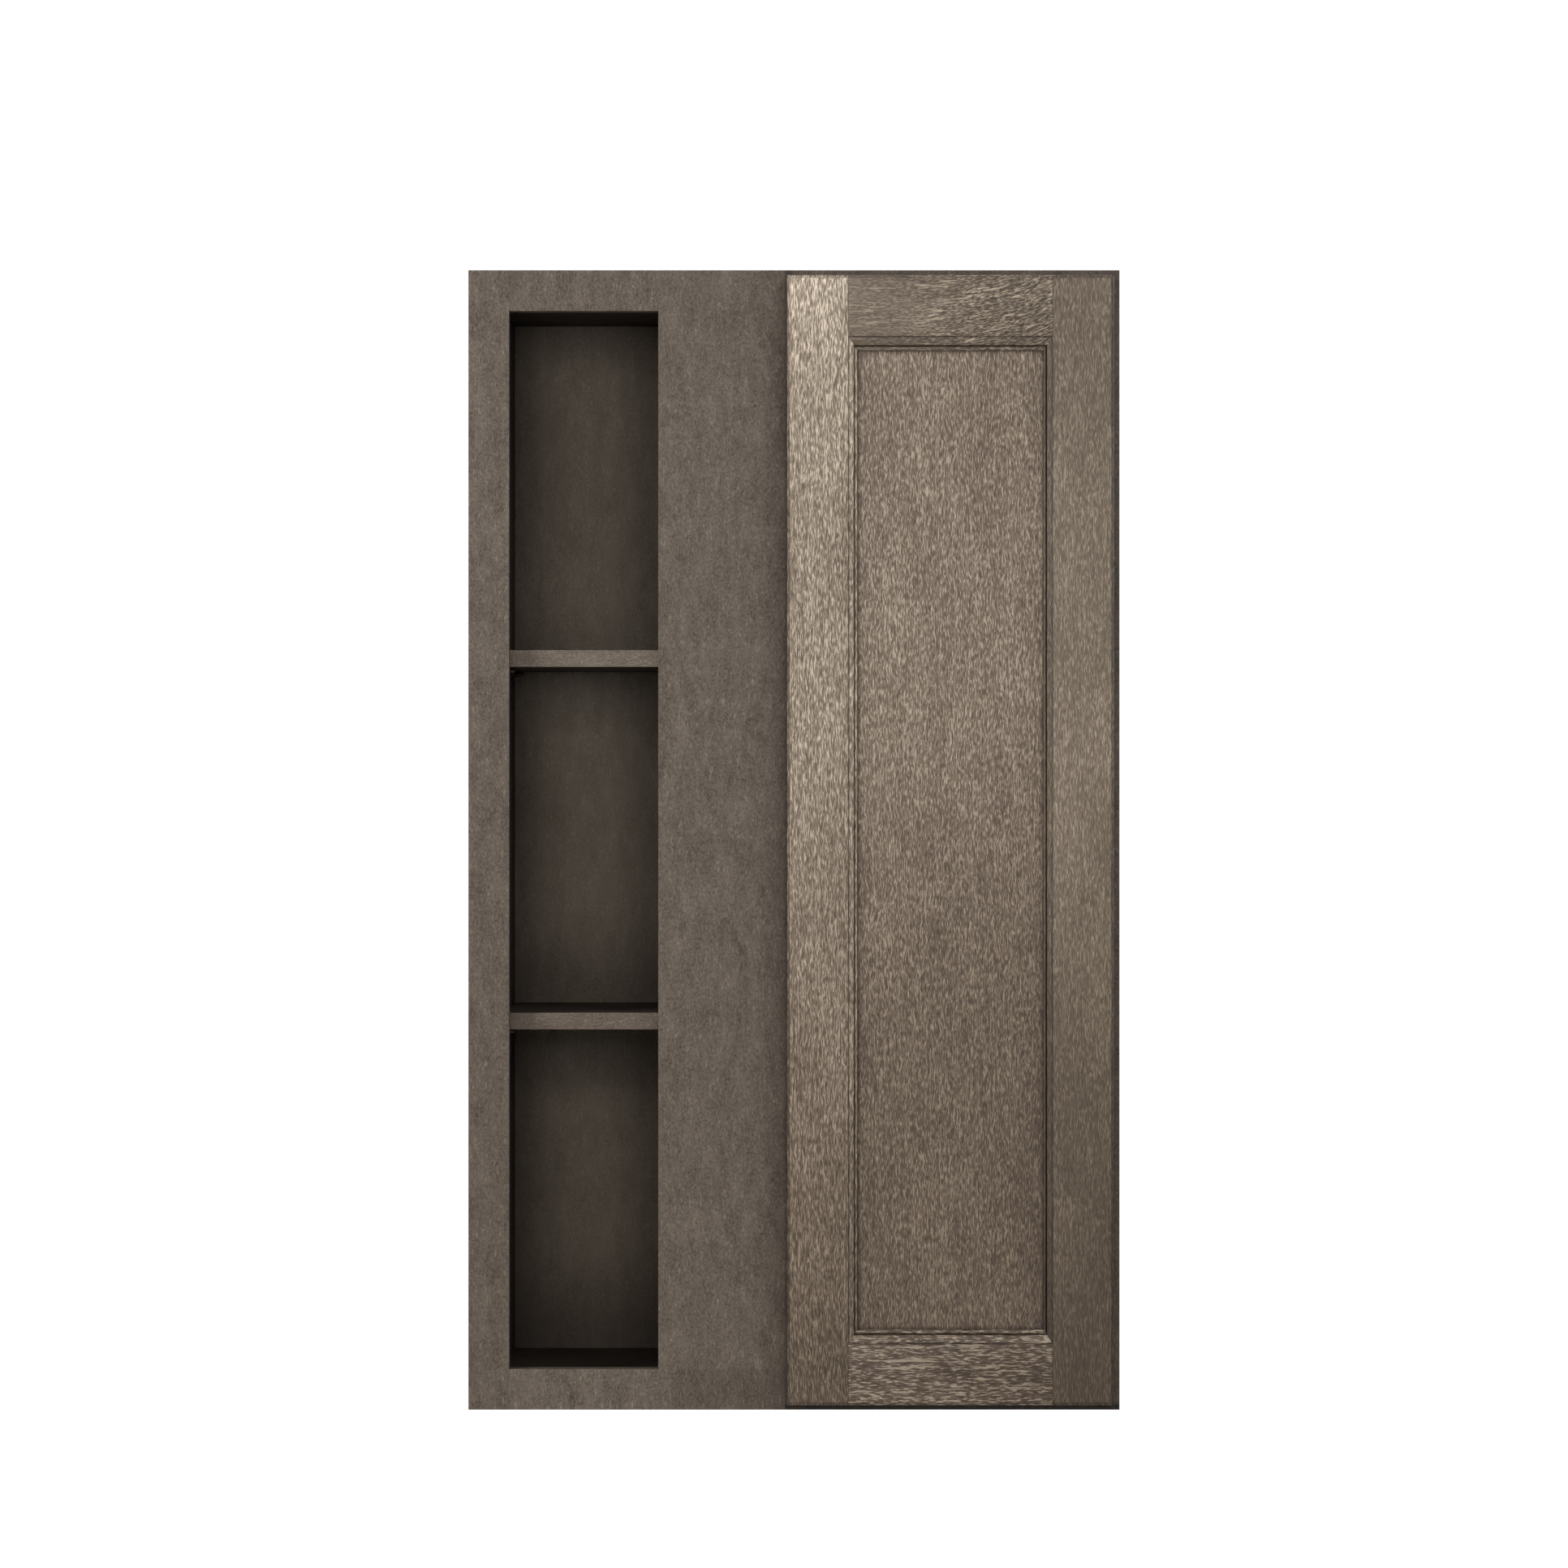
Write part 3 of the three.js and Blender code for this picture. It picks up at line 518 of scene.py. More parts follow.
# Each compartment's bottom and top, its painted shade at the foot, how far up that fades, its gain of painted
# light, and how much painted light brightens it at the head.
COMPARTMENTS = [
    (INSIDE_LOW.z, shelf_z[0][0], 0.30, 130 * MM, 0.84, 2.2),
    (shelf_z[0][1], shelf_z[1][0], 0.40, 110 * MM, 0.95, 1.8),
    (shelf_z[1][1], INSIDE_HIGH.z, 0.75, 60 * MM, 0.91, 1.1),
]
HEAD_FADE = 60 * MM
INNER_LINING = 0.32
BACK_PANEL_REAR = 0.55


def case_tone(nodes, place):
    """The lining is in shade, and the outside isn't."""
    return inside_tone(nodes, place, INNER_LINING)


def shelf_edge_tone(nodes, place):
    """The lower shelf's front edge is in weaker light."""
    return nodes.remap(nodes.parts(place)["Z"], 0.4, 0.65, 0.77, 1.0)


case_material = frame_wood("case_board", (96, 86, 76), 0.8, (0.3, 0, 0), tone=case_tone)
floor_material = frame_wood("case_board_flat", (96, 86, 76), 0.8, (0.1, 0, 0), "X", case_tone)
# The back board's pale colour is painted light on the panel's front; back_tone brings its rear face down to a
# plain level.
back_material = frame_wood("back_board", (160, 144, 127), 0.5, (0.7, 0, 0), tone=back_tone)
# The shelves' top and bottom faces are much darker than their front edges: painted shade.
shelf_face = frame_wood("shelf_face", (58, 50, 44), 0.7, (0.5, 0, 0.2), "X")
shelf_edge = frame_wood("shelf_edge", (113, 101, 89), 1.0, (0.5, 0, 0.2), "X", shelf_edge_tone)
for node in ("left_side", "right_side"):
    wear(NODES[node], case_material)
for node in ("top_panel", "bottom_panel", "hanging_rail_top", "hanging_rail_bottom"):
    wear(NODES[node], floor_material)
wear(NODES["back_panel"], back_material)

SHELF_EASE = 0.6 * MM
for node in ("shelf_lower", "shelf_upper"):
    shelf = board(f"{node}_edged", span(node, X), span(node, Z), *span(node, Y), (SHELF_EASE,) * 4)
    wear(shelf, shelf_face)
    shelf.data.materials.append(shelf_edge)
    for face in shelf.data.polygons:
        face.material_index = int(face.normal.y < -0.5)
    body = "lower_shelf" if "lower" in node else "upper_shelf"
    place_piece(shelf, body, node)

# ---- Door -------------------------------------------------------------------------------------
MEMBER = span("door_bottom_rail", X)[0] - DOOR_LEFT
EDGE_STEP = 2.3 * MM
EDGE_DROP = 1.1 * MM
TREAD_RISE = 0.02 * MM  # the step's tread rises this much towards the member's face
MOULDING = 8.3 * MM
RAIL_STRETCH = 1.56  # the rails' moulding is this much wider than the stiles'
PANEL_DEPTH = span("door_panel", Y)[0] - DOOR_FRONT
PANEL_BACK = span("door_panel", Y)[1] - DOOR_FRONT
DOOR_THICK = DOOR_BACK - DOOR_FRONT


def member_body(bm, length, stepped_ends, place):
    """The flat part of a stile or rail. u runs inward from the outer edge, v along the member."""
    step_round, arris = 0.5 * MM, 0.35 * MM
    ends = 0.12 * MM
    outline = []  # (outer inset, inner inset, end inset, depth), from the back to the front
    outline.append((0, 0, 0, DOOR_THICK))
    for inset, depth in eased(EDGE_DROP, step_round):
        outline.append((inset, 0, inset if stepped_ends else 0, depth))
    tread = EDGE_STEP - 0.2 * MM
    outline.append((tread, 0, tread if stepped_ends else 0, EDGE_DROP - TREAD_RISE))
    for inset, depth in eased(0, arris):
        end = EDGE_STEP + inset if stepped_ends else ends * inset / arris
        outline.append((EDGE_STEP + inset, inset * 0.6, end, depth))
    rings = []
    for outer, inner, end, depth in outline:
        u0, u1, v0, v1 = outer, MEMBER - inner, end, length - end
        rings.append([place(u0, v0, depth), place(u1, v0, depth), place(u1, v1, depth),
                      place(u0, v1, depth)])
    loft(bm, rings)


def moulding_section():
    """The moulding's outline: u inward from the flat face's arris, and depth behind the face."""
    root = -0.3 * MM
    quirk = 0.9 * MM
    slope = [(0.2 * MM, quirk), (1.4 * MM, 1.2 * MM), (3.2 * MM, 1.95 * MM), (4.7 * MM, 2.9 * MM),
             (5.15 * MM, 3.4 * MM)]
    bead_centre, bead_radius = (6.85 * MM, 6.1 * MM), 1.35 * MM
    bead = [(5.3 * MM, 6.6 * MM)] + arc(bead_centre, bead_radius, 200, 345, 8)
    back = [(MOULDING, PANEL_DEPTH - 0.05 * MM), (root, PANEL_DEPTH - 0.05 * MM)]
    front_part = [(root, quirk)] + slope + bead + back
    rear_part = [(root, PANEL_BACK + 0.1 * MM), (MOULDING - 0.4 * MM, PANEL_BACK + 0.1 * MM),
                 (MOULDING, PANEL_BACK + 0.5 * MM), (MOULDING, DOOR_THICK - 0.4 * MM),
                 (MOULDING - 0.4 * MM, DOOR_THICK), (root, DOOR_THICK)]
    return front_part, rear_part


def member_moulding(bm, start, end, stretch, place):
    """Both lips that hold the panel, mitred to the neighbouring member's at each end."""
    lean = RAIL_STRETCH / stretch
    for section in moulding_section():
        rings = []
        for at, slant in ((start, 1), (end, -1)):
            rings.append([place(MEMBER + u * stretch, at + slant * lean * u, depth)
                          for u, depth in section])
        loft(bm, rings)


CUP_BORE_RADIUS = 17.7 * MM
CUP_BORE_DEPTH = 13.2 * MM
CUP_FLANGE_RADIUS = 18.2 * MM


def cup_centre(cup):
    """The cup's axis: its flange reaches the right end of its box."""
    return span(cup, X)[1] - CUP_FLANGE_RADIUS, middle(cup).z


def bored(bm, cups):
    """The same body with a blind bore in its back for each hinge cup."""
    body = finish_mesh("unbored_body", bm)
    cutter_bm = bmesh.new()
    for cup in cups:
        x, z = cup_centre(cup)
        profile = [(0, 0), (CUP_BORE_RADIUS, 0), (CUP_BORE_RADIUS, 20 * MM), (0, 20 * MM)]
        turned(cutter_bm, profile, (x, DOOR_BACK - CUP_BORE_DEPTH, z), (0, 1, 0), 72)
    cutter = finish_mesh("cup_cutter", cutter_bm)
    cut = body.modifiers.new("cup_bores", "BOOLEAN")
    cut.operation = "DIFFERENCE"
    cut.solver = "EXACT"
    cut.object = cutter
    whole = body.evaluated_get(bpy.context.evaluated_depsgraph_get())
    result = bpy.data.meshes.new_from_object(whole)
    fresh = bmesh.new()
    fresh.from_mesh(result)
    for spare in (body, cutter):
        bpy.data.objects.remove(spare)
    bpy.data.meshes.remove(result)
    return fresh


def door_member(name, length, inner_start, inner_end, is_rail, place, cups=()):
    bm = bmesh.new()
    member_body(bm, length, not is_rail, place)
    if cups:
        bm = bored(bm, cups)
    member_moulding(bm, inner_start, inner_end, RAIL_STRETCH if is_rail else 1, place)
    return finish_mesh(name, bm, 40)


door_height = DOOR_HIGH - DOOR_LOW
rail_length = DOOR_RIGHT - DOOR_LEFT - 2 * MEMBER
PLACES = {
    "door_left_stile": lambda u, v, d: (DOOR_LEFT + u, DOOR_FRONT + d, DOOR_LOW + v),
    "door_right_stile": lambda u, v, d: (DOOR_RIGHT - u, DOOR_FRONT + d, DOOR_LOW + v),
    "door_bottom_rail": lambda u, v, d: (DOOR_LEFT + MEMBER + v, DOOR_FRONT + d, DOOR_LOW + u),
    "door_top_rail": lambda u, v, d: (DOOR_LEFT + MEMBER + v, DOOR_FRONT + d, DOOR_HIGH - u),
}


EDGE_SHADE = {"left": 0.55, "right": 0.62, "bottom": 0.62, "top": 0.86}  # the stepped outer edge
ARRIS = {
    "door_left_stile": ("X", DOOR_LEFT + MEMBER, 1),
    "door_right_stile": ("X", DOOR_RIGHT - MEMBER, -1),
    "door_bottom_rail": ("Z", DOOR_LOW + MEMBER, 1),
    "door_top_rail": ("Z", DOOR_HIGH - MEMBER, -1),
}


REAR_LEVEL = {"door_left_stile": 0.62, "door_right_stile": 0.72, "door_bottom_rail": 0.84,
              "door_top_rail": 0.74}


def rear_plain(nodes, parts, level, rear):
    """The front's tone in front of the panel, and one plain level on the door's back."""
    behind = nodes.math("GREATER_THAN", parts["Y"], DOOR_FRONT + PANEL_BACK - 0.3 * MM)
    return nodes.remap(behind, 0, 1, level, rear, smooth=False)


def member_tone(node, slope, rising):
    """Painted shade in the quirks, on the shaded edge step and at the bead's root, painted light and shade on
    the moulding's slope, and painted light that changes slowly along the member.
    """
    axis, arris, inward = ARRIS[node]
    stretch = RAIL_STRETCH if "rail" in node else 1
    edge = EDGE_SHADE[node.split("_")[1]]
    # Across the member: painted shade on the edge step, in the quirk at the arris, at the bead's root and at
    # the panel's crevice; the slope carries its painted level.
    section = [
        (-MEMBER, edge * 0.6), (-MEMBER + 0.4 * MM, edge), (-MEMBER + EDGE_STEP - 0.1 * MM, edge),
        (-MEMBER + EDGE_STEP + 0.1 * MM, 1.0), (-0.9 * MM, 1.0), (-0.3 * MM, 0.45), (0.3 * MM, 0.45),
        (1.0 * MM, slope), (4.6 * MM, slope), (5.2 * MM, slope * 0.5), (5.9 * MM, slope * 0.5),
        (6.4 * MM, slope), (MOULDING - 0.5 * MM, slope), (MOULDING, slope * 0.6),
    ]

    def tone(nodes, place):
        parts = nodes.parts(place)
        inset = nodes.math("SUBTRACT", parts[axis], arris)
        inset = nodes.math("MULTIPLY", inset, inward)
        within = nodes.math("MAXIMUM", nodes.math("DIVIDE", inset, stretch), 0)
        inset = nodes.math("ADD", nodes.math("MINIMUM", inset, 0), within)
        level = nodes.curve(inset, section)
        # Painted light along the member.
        level = nodes.math("MULTIPLY", level, nodes.curve(parts["Z"], rising))
        if "stile" in node:
            # Painted shade on the stile's stepped ends.
            low_edge, high_edge = EDGE_SHADE["bottom"], EDGE_SHADE["top"]
            ends = nodes.curve(parts["Z"], [
                (DOOR_LOW, low_edge * 0.8), (DOOR_LOW + 0.4 * MM, low_edge), (DOOR_LOW + EDGE_STEP, low_edge),
                (DOOR_LOW + EDGE_STEP + 0.2 * MM, 1.0), (DOOR_HIGH - EDGE_STEP - 0.2 * MM, 1.0),
                (DOOR_HIGH - EDGE_STEP, high_edge), (DOOR_HIGH - 0.4 * MM, high_edge),
                (DOOR_HIGH, high_edge * 0.5),
            ])
            level = nodes.math("MULTIPLY", level, ends)
        return rear_plain(nodes, parts, level, REAR_LEVEL[node])
    return tone


PANEL_X = (DOOR_LEFT + MEMBER + MOULDING, DOOR_RIGHT - MEMBER - MOULDING)
PANEL_Z = (DOOR_LOW + MEMBER + MOULDING * RAIL_STRETCH, DOOR_HIGH - MEMBER - MOULDING * RAIL_STRETCH)


def panel_tone(nodes, place):
    """Painted shade in the crevice round the panel, painted light at mid height, and painted shade towards
    its right side.
    """
    parts = nodes.parts(place)
    level = nodes.curve(parts["Z"], [(0.05, 0.645), (0.30, 0.69), (0.46, 0.82), (0.69, 1.20),
                                     (0.92, 1.03), (1.06, 1.03)])
    level = nodes.math("MULTIPLY", level, nodes.curve(parts["X"], [
        (PANEL_X[0], 1.0), (PANEL_X[0] + 25 * MM, 1.06), (PANEL_X[1] - 25 * MM, 0.97),
        (PANEL_X[1], 0.80),
    ]))
    for axis, (low, high) in (("X", PANEL_X), ("Z", PANEL_Z)):
        level = nodes.math("MULTIPLY", level, nodes.curve(parts[axis], [
            (low, 0.45), (low + 0.7 * MM, 0.55), (low + 2 * MM, 0.9), (low + 5 * MM, 1.0),
            (high - 5 * MM, 1.0), (high - 2 * MM, 0.9), (high - 0.7 * MM, 0.55), (high, 0.45),
        ]))
    return rear_plain(nodes, parts, level, 0.7)


def rail_strength(nodes, place):
    """The top rail's figure is faint at its left end and bold at its right."""
    along = nodes.parts(place)["X"]
    return nodes.curve(along, [(0.05, 0.3), (0.10, 0.42), (0.17, 0.95), (0.24, 1.05)])


def top_rail_figure(nodes, place):
    """Bends the top rail's grain upwards towards its right end."""
    along = nodes.math("MAXIMUM", nodes.math("SUBTRACT", nodes.parts(place)["X"], 0.11), 0)
    rise = nodes.math("MULTIPLY", nodes.math("MULTIPLY", along, along), -1.6)
    return nodes.add("ShaderNodeCombineXYZ", {0: rise}).outputs[0]


# Painted light up each stile's height, with a painted highlight at the top of the left stile.
LEFT_RISE = [(0.0, 0.465), (0.08, 0.505), (0.40, 0.85), (0.63, 1.17), (0.85, 1.14), (1.0, 1.40),
             (1.03, 1.5), (1.06, 1.85)]
RIGHT_RISE = [(0.0, 0.47), (0.08, 0.50), (0.31, 0.70), (0.45, 0.98), (0.61, 1.24), (0.8, 1.1),
              (1.0, 0.90)]
# The members' mid and light colours are partly the boards' own colour and partly painted light, the left
# stile painted lightest; the rails' rising lists are their painted light level. The slope figure passed to
# member_tone paints light on the left stile's and bottom rail's mouldings and shade on the right stile's and
# top rail's.
DOOR_MATERIALS = {
    "door_left_stile": door_wood("door_wood_left_stile", offset=(0.1, 0, 0.2), amount=0.98,
                                 mid=(141, 124, 106), light=(230, 213, 191), fleck=(0.95, 7.5),
                                 tone=member_tone("door_left_stile", 1.34, LEFT_RISE)),
    "door_right_stile": door_wood("door_wood_right_stile", offset=(0.7, 0, 0.5), amount=0.58,
                                  mid=(118, 103, 87), fleck=(0.9, 7),
                                  tone=member_tone("door_right_stile", 0.59, RIGHT_RISE)),
    "door_bottom_rail": door_wood("door_wood_bottom_rail", "X", (0, 0.3, 0.3), 6 * MM, amount=1.05,
                                  mid=(102, 86, 72), fleck=(1.3, 8), streaks=0.9,
                                  tone=member_tone("door_bottom_rail", 1.12, [(0, 0.84), (0.1, 0.86)])),
    "door_top_rail": door_wood("door_wood_top_rail", "X", (0.2, 0.1, 0.9), 6 * MM, amount=1.2,
                               mid=(110, 96, 82), fleck=(0.8, 4.6), streaks=1.5,
                               strength=rail_strength, figure=top_rail_figure,
                               tone=member_tone("door_top_rail", 0.80, [(0.9, 0.97), (1.1, 0.97)])),
    "door_panel": door_wood("door_wood_panel", offset=(0.35, 0.2, 0.1), warp=5 * MM, amount=0.95,
                            fleck=(0.9, 6), tone=panel_tone),
}
HINGE_CUPS = sorted(node for node in NODES if node.endswith("_cup"))
for node, place in PLACES.items():
    if "stile" in node:
        cups = HINGE_CUPS if "right" in node else ()
        inner_ends = (MEMBER, door_height - MEMBER)
        piece = door_member(f"{node}_moulded", door_height, *inner_ends, False, place, cups)
    else:
        piece = door_member(f"{node}_moulded", rail_length, 0, rail_length, True, place)
    wear(piece, DOOR_MATERIALS[node])
    place_piece(piece, "door", node)
wear(NODES["door_panel"], DOOR_MATERIALS["door_panel"])

# ---- Hardware ---------------------------------------------------------------------------------
nickel = metal("nickel_plate", (216, 214, 209), 0.34)
zinc = metal("zinc_screw", (200, 198, 192), 0.40)
bronze = metal("bronze_pin", (70, 61, 54), 0.45)
bumper_plastic = clear_rubber("bumper_plastic")


def hardware(name, bm, material, body, node):
    """Finishes one small metal or plastic piece that stands for a CAD node."""
    piece = finish_mesh(name, bm, 40)
    wear(piece, material)
    place_piece(piece, body, node)


def cross_recess(a, b, along):
    """A cross-head driver's recess, in the crown of the screw's head."""
    arm, reach, depth = 0.42 * MM, 1.9 * MM, 0.5 * MM
    if along <= 0.4 * MM:
        return 0
    near, far = sorted((abs(a), abs(b)))
    inside = near < arm and far < reach
    return depth * (1 - 0.5 * far / reach) if inside else 0


def screw(node, body):
    """A pan-head screw whose head faces the way its CAD piece's does."""
    axis = X if "base_screw" in node else Y
    low, high = span(node, axis)
    head_height = 0.8 * MM
    centre = middle(node)
    direction = [0, 0, 0]
    heads_low = "base_screw" in node
    direction[axis] = -1 if heads_low else 1
    centre[axis] = low + head_height if heads_low else high - head_height
    across = (span(node, Z)[1] - span(node, Z)[0]) / 2
    shank = across * 0.47
    length = high - low - head_height
    profile = [(0, -length), (shank, -length + 2 * shank), (shank, 0), (across, 0),
               (across, 0.25 * MM), (across * 0.93, 0.5 * MM), (across * 0.8, 0.68 * MM)]
    rings = (0.66, 0.56, 0.48, 0.40, 0.32, 0.24, 0.16, 0.08, 0)
    profile += [(across * share, head_height) for share in rings]
    bm = bmesh.new()
    turned(bm, profile, centre, direction, 48, cross_recess)
    hardware(f"{node}_turned", bm, zinc, body, node)


CUP_RADIUS = 17.5 * MM
CUP_WALL = 0.8 * MM
CUP_FLOOR = 0.6 * MM
CUP_FLANGE = 1.0 * MM
WING_NEAR, WING_FAR = 3.5 * MM, 15.5 * MM  # the wings' edges, from the cup's axis
WING_START = 14.5 * MM
WING_CORNER = 5.4 * MM
PRESSED_ARRIS = 0.25 * MM


def hinge_cup(node):
    """Deep-drawn cup with a rolled flange and two screw wings, open towards the cabinet."""
    z = span(node, Z)
    y_back, y_front = span(node, Y)
    cup_x, level = cup_centre(node)
    mouth = y_front - y_back
    lip = mouth - CUP_FLANGE
    inner = CUP_RADIUS - CUP_WALL
    foot, rim, roll, hollow = 1.2 * MM, 0.4 * MM, 0.5 * MM, 1.4 * MM  # the profile's corner radii
    hollow_level = CUP_FLOOR + hollow
    profile = [(0, 0)] + arc((CUP_RADIUS - foot, foot), foot, -90, 0, 5)
    profile += [(CUP_RADIUS, lip), (CUP_FLANGE_RADIUS, lip)]
    profile += arc((CUP_FLANGE_RADIUS - rim, mouth - rim), rim, 0, 90, 4)
    profile += arc((inner + roll, mouth - roll), roll, 90, 180, 4)
    profile += arc((inner - hollow, hollow_level), hollow, 0, -90, 5)
    profile += [(0, CUP_FLOOR)]
    bm = bmesh.new()
    turned(bm, profile, (cup_x, y_back, level), (0, 1, 0), 72)
    wing_x = (cup_x - WING_FAR, cup_x - WING_NEAR)
    for wing_z in ((level + WING_START, z[1]), (z[0], level - WING_START)):
        outline = rounded_plate(wing_x, wing_z, WING_CORNER)
        slab(bm, outline, y_back + lip, y_front, lambda a, b, c: (a, c, b), PRESSED_ARRIS)
    hardware(f"{node}_drawn", bm, nickel, "door", node)


def hinge_arm(node):
    """Strap rolled round the pin, run along the cup's floor and bent up beside the stile."""
    x, y, z = span(node, X), span(node, Y), span(node, Z)
    knuckle, bore, bend = 1.8 * MM, 1.0 * MM, 2.2 * MM
    pin_x, pin_y = x[1] - knuckle, y[0] + knuckle
    strap_low, strap_high, rise = pin_y - 1.7 * MM, pin_y - 0.4 * MM, 1.8 * MM
    strap_end = pin_x - bore - 0.1 * MM
    outline = [(strap_end, strap_low), (strap_end, strap_high)]
    inner_bend = 0.9 * MM
    outline += arc((x[0] + rise + inner_bend, strap_high + inner_bend), inner_bend, 270, 180, 5)
    outline += [(x[0] + rise, y[1])]
    outline += [(x[0], y[1])]
    outline += arc((x[0] + bend, strap_low + bend), bend, 180, 270, 6)
    bm = bmesh.new()
    slab(bm, outline, z[0], z[1], lambda a, b, c: (a, b, c), 0.2 * MM)
    half = (z[1] - z[0]) / 2
    profile = [(bore, -half), (knuckle - 0.3 * MM, -half), (knuckle, 0.3 * MM - half),
               (knuckle, half - 0.3 * MM), (knuckle - 0.3 * MM, half), (bore, half)]
    turned(bm, profile, (pin_x, pin_y, (z[0] + z[1]) / 2), (0, 0, 1), 40)
    hardware(f"{node}_bent", bm, nickel, "cabinet", node)


PLATE_CORNER = 3.5 * MM
RIB_HEIGHT = 0.35 * MM
RIB_END = 3.0 * MM  # from the plate's edge to the rib's end
RIB_CORNER = 1.3 * MM
RIB_ARRIS = 0.3 * MM
RIB_NEAR, RIB_FAR = 5.0 * MM, 8.0 * MM  # the rib's edges, from the arm's middle


def hinge_base(node):
    """Pressed plate with rounded corners and a raised rib on either side of the arm."""
    x, y, z = span(node, X), span(node, Y), span(node, Z)
    bm = bmesh.new()
    outline = rounded_plate(y, z, PLATE_CORNER)
    slab(bm, outline, x[0] + RIB_HEIGHT, x[1], lambda a, b, c: (c, a, b), PRESSED_ARRIS)
    level = (z[0] + z[1]) / 2
    for side in (-1, 1):
        rib_z = sorted((level + side * RIB_NEAR, level + side * RIB_FAR))
        rib = rounded_plate((y[0] + RIB_END, y[1] - RIB_END), rib_z, RIB_CORNER)
        slab(bm, rib, x[0], x[1], lambda a, b, c: (c, a, b), RIB_ARRIS)
    hardware(f"{node}_pressed", bm, nickel, "cabinet", node)


def turned_pin(node, body, material, axis, profile, name):
    """A small round piece along one axis: the profile runs from its low end to its high end."""
    origin = middle(node)
    origin[axis] = span(node, axis)[0]
    direction = [0, 0, 0]
    direction[axis] = 1
    bm = bmesh.new()
    turned(bm, profile, origin, direction, 36)
    hardware(f"{node}_{name}", bm, material, body, node)


def shelf_pin(node):
    """A shank in the side's hole, a collar against the side and a rounded nose under the shelf."""
    length = span(node, X)[1] - span(node, X)[0]
    shank, collar, nose = 2.4 * MM, 4.2 * MM, 2.5 * MM
    shank_end = 9.1 * MM
    collar_end = shank_end + 1.2 * MM
    profile = [(0, 0), (shank - 0.5 * MM, 0), (shank, 0.5 * MM), (shank, shank_end)]
    profile += [(collar, shank_end), (collar, collar_end - 0.3 * MM), (collar - 0.3 * MM, collar_end)]
    profile += [(nose, collar_end), (nose, length - 1.2 * MM)]
    profile += arc((nose - 1.2 * MM, length - 1.2 * MM), 1.2 * MM, 0, 90, 5) + [(0, length)]
    if "_right_" in node:
        profile = [(radius, length - along) for radius, along in reversed(profile)]
    turned_pin(node, "cabinet", bronze, X, profile, "turned")


def bumper(node):
    """A round pad with a rolled edge."""
    radius = (span(node, X)[1] - span(node, X)[0]) / 2
    thick = span(node, Y)[1] - span(node, Y)[0]
    corner = 0.8 * MM
    profile = [(0, 0), (radius, 0), (radius, thick - corner)]
    profile += arc((radius - corner, thick - corner), corner, 0, 90, 6)
    profile += [(radius * 0.4, thick), (0, thick)]
    turned_pin(node, "door", bumper_plastic, Y, profile, "domed")


def hinge_pin(node):
    """A plain pin with chamfered ends."""
    radius = (span(node, X)[1] - span(node, X)[0]) / 2
    length = span(node, Z)[1] - span(node, Z)[0]
    corner = 0.25 * MM
    profile = [(0, 0), (radius - corner, 0), (radius, corner), (radius, length - corner),
               (radius - corner, length), (0, length)]
    turned_pin(node, "door", zinc, Z, profile, "turned")


for node in sorted(NODES):
    if node.endswith("_cup"):
        hinge_cup(node)
    elif node.endswith("_arm"):
        hinge_arm(node)
    elif node.endswith("_base"):
        hinge_base(node)
    elif "cup_screw" in node:
        screw(node, "door")
    elif "base_screw" in node:
        screw(node, "cabinet")
    elif node.startswith("hinge_"):
        hinge_pin(node)
    elif node.startswith("shelf_pin_"):
        shelf_pin(node)
    elif node.startswith("bumper_"):
        bumper(node)

# ---- Room, lights and camera ------------------------------------------------------------------
HANG_HEIGHT = 1.37  # the cabinet's bottom above the floor, as over a worktop
ROOM = 5.0
floor_bm = bmesh.new()
bmesh.ops.create_grid(floor_bm, x_segments=8, y_segments=8, size=ROOM / 2)
floor = finish_mesh("floor", floor_bm)
floor.location.z = -HANG_HEIGHT
floor_nodes = Nodes("pale_floor")
floor_place = floor_nodes.add("ShaderNodeTexCoord").outputs["Object"]
floor_mist = floor_nodes.scaled_noise(floor_place, (1.5, 1.5, 1.5), 2.0)
floor_colour = floor_nodes.mix(floor_mist, (0.84, 0.84, 0.83, 1), (0.88, 0.88, 0.87, 1))
wear(floor, floor_nodes.finish(floor_colour, 0.7))

world = bpy.data.worlds.new("studio")
bpy.context.scene.world = world
world.use_nodes = True
tree = world.node_tree
tree.nodes.clear()
seen = tree.nodes.new("ShaderNodeBackground")
seen.inputs["Color"].default_value = (1, 1, 1, 1)
seen.inputs["Strength"].default_value = 1.05
fill = tree.nodes.new("ShaderNodeBackground")
fill.inputs["Color"].default_value = (1, 0.99, 0.97, 1)
fill.inputs["Strength"].default_value = 0.02
path = tree.nodes.new("ShaderNodeLightPath")
choose = tree.nodes.new("ShaderNodeMixShader")
output = tree.nodes.new("ShaderNodeOutputWorld")
tree.links.new(path.outputs["Is Camera Ray"], choose.inputs[0])
tree.links.new(fill.outputs[0], choose.inputs[1])
tree.links.new(seen.outputs[0], choose.inputs[2])
tree.links.new(choose.outputs[0], output.inputs["Surface"])

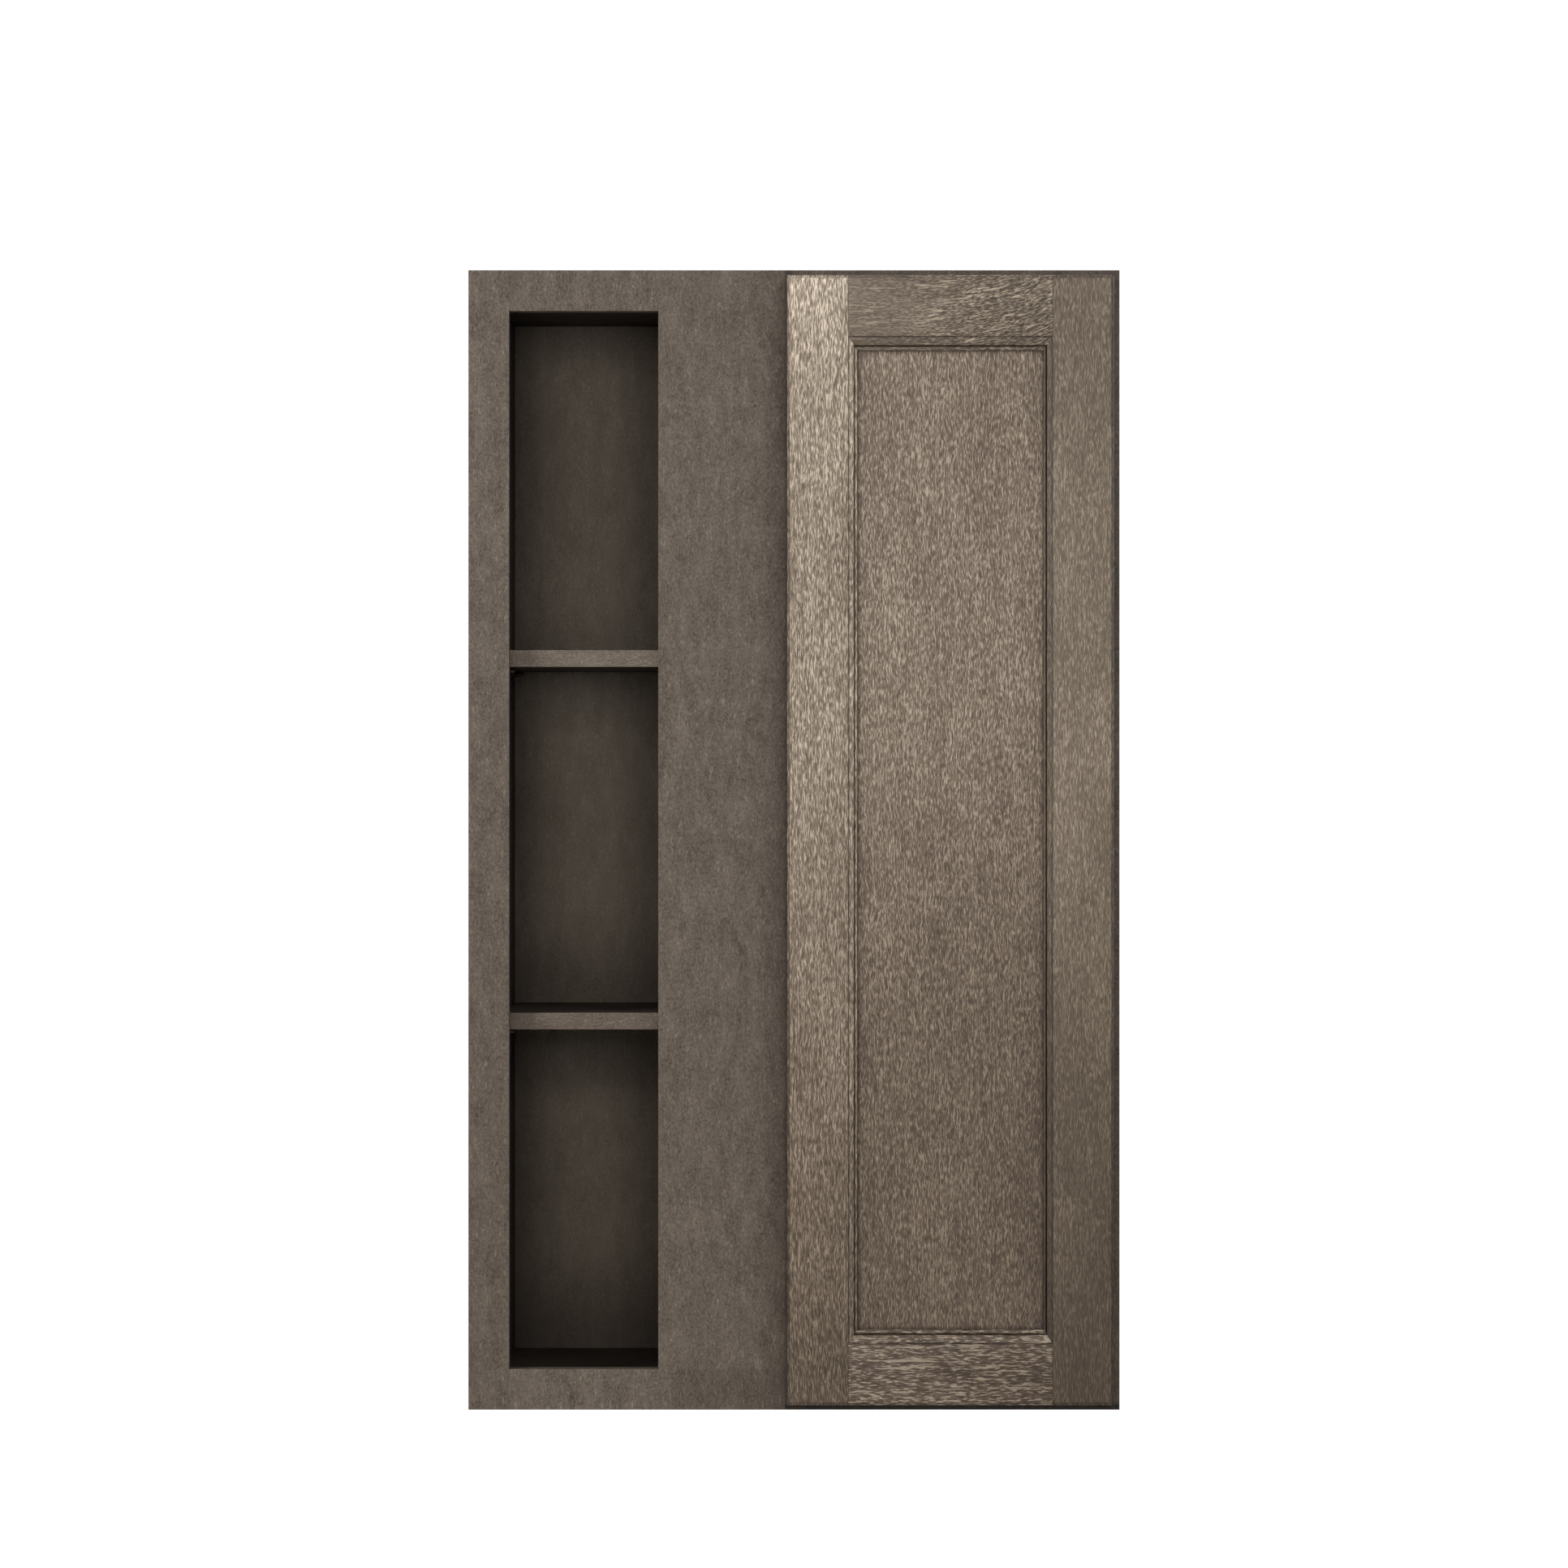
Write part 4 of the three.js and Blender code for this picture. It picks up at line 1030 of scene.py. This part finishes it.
centre = Vector((0, FRAME_FRONT, CASE_TOP / 2))


def soft_light(name, place, width, height, power):
    """An area lamp at a place measured from the face frame's centre, aimed at it."""
    light = bpy.data.lights.new(name, "AREA")
    light.shape = "RECTANGLE"
    light.size = width
    light.size_y = height
    light.energy = power
    lamp = bpy.data.objects.new(name, light)
    lamp.location = centre + Vector(place)
    aim = (centre - lamp.location).to_track_quat("-Z", "Y")
    lamp.rotation_euler = aim.to_euler()
    bpy.context.scene.collection.objects.link(lamp)


# Lamps in front of the cabinet
soft_light("side_light", (-3.0, -2.0, 1.2), 1.4, 1.6, 78)
soft_light("top_right_light", (1.6, -2.6, 2.2), 1.4, 1.4, 30)
soft_light("front_light", (0, -4.0, 0.6), 1.2, 1.0, 26)
soft_light("front_left_light", (-1.4, -3.7, 1.0), 1.4, 1.2, 15)
soft_light("right_light", (3.0, -2.0, 1.2), 1.4, 1.6, 12)
# Lamps behind it, which show its back, sides and top
soft_light("wall_side_light", (0.6, 3.4, 1.4), 1.8, 1.8, 110)
soft_light("left_rear_light", (-3.0, 1.6, 0.8), 1.4, 1.6, 60)
soft_light("right_rear_light", (3.0, 1.6, 0.8), 1.4, 1.6, 80)
soft_light("high_rear_light", (0, 1.5, 2.8), 1.6, 1.2, 60)

CAMERA_DISTANCE = 5.51  # from the front of the face frame
IMAGE_WIDTH_THERE = 1.4679  # what the picture spans at the face frame
CAMERA_X = -9.3 * MM
CAMERA_HEIGHT = 585.8 * MM  # above the cabinet's bottom
SENSOR = 36.0
camera_data = bpy.data.cameras.new("camera")
camera_data.sensor_width = SENSOR
camera_data.lens = SENSOR * CAMERA_DISTANCE / IMAGE_WIDTH_THERE
camera = bpy.data.objects.new("camera", camera_data)
camera.location = (CAMERA_X, FRAME_FRONT - CAMERA_DISTANCE, CAMERA_HEIGHT)
camera.rotation_euler = (math.pi / 2, 0, 0)
bpy.context.scene.collection.objects.link(camera)
bpy.context.scene.camera = camera
bpy.context.scene.view_settings.view_transform = "Standard"
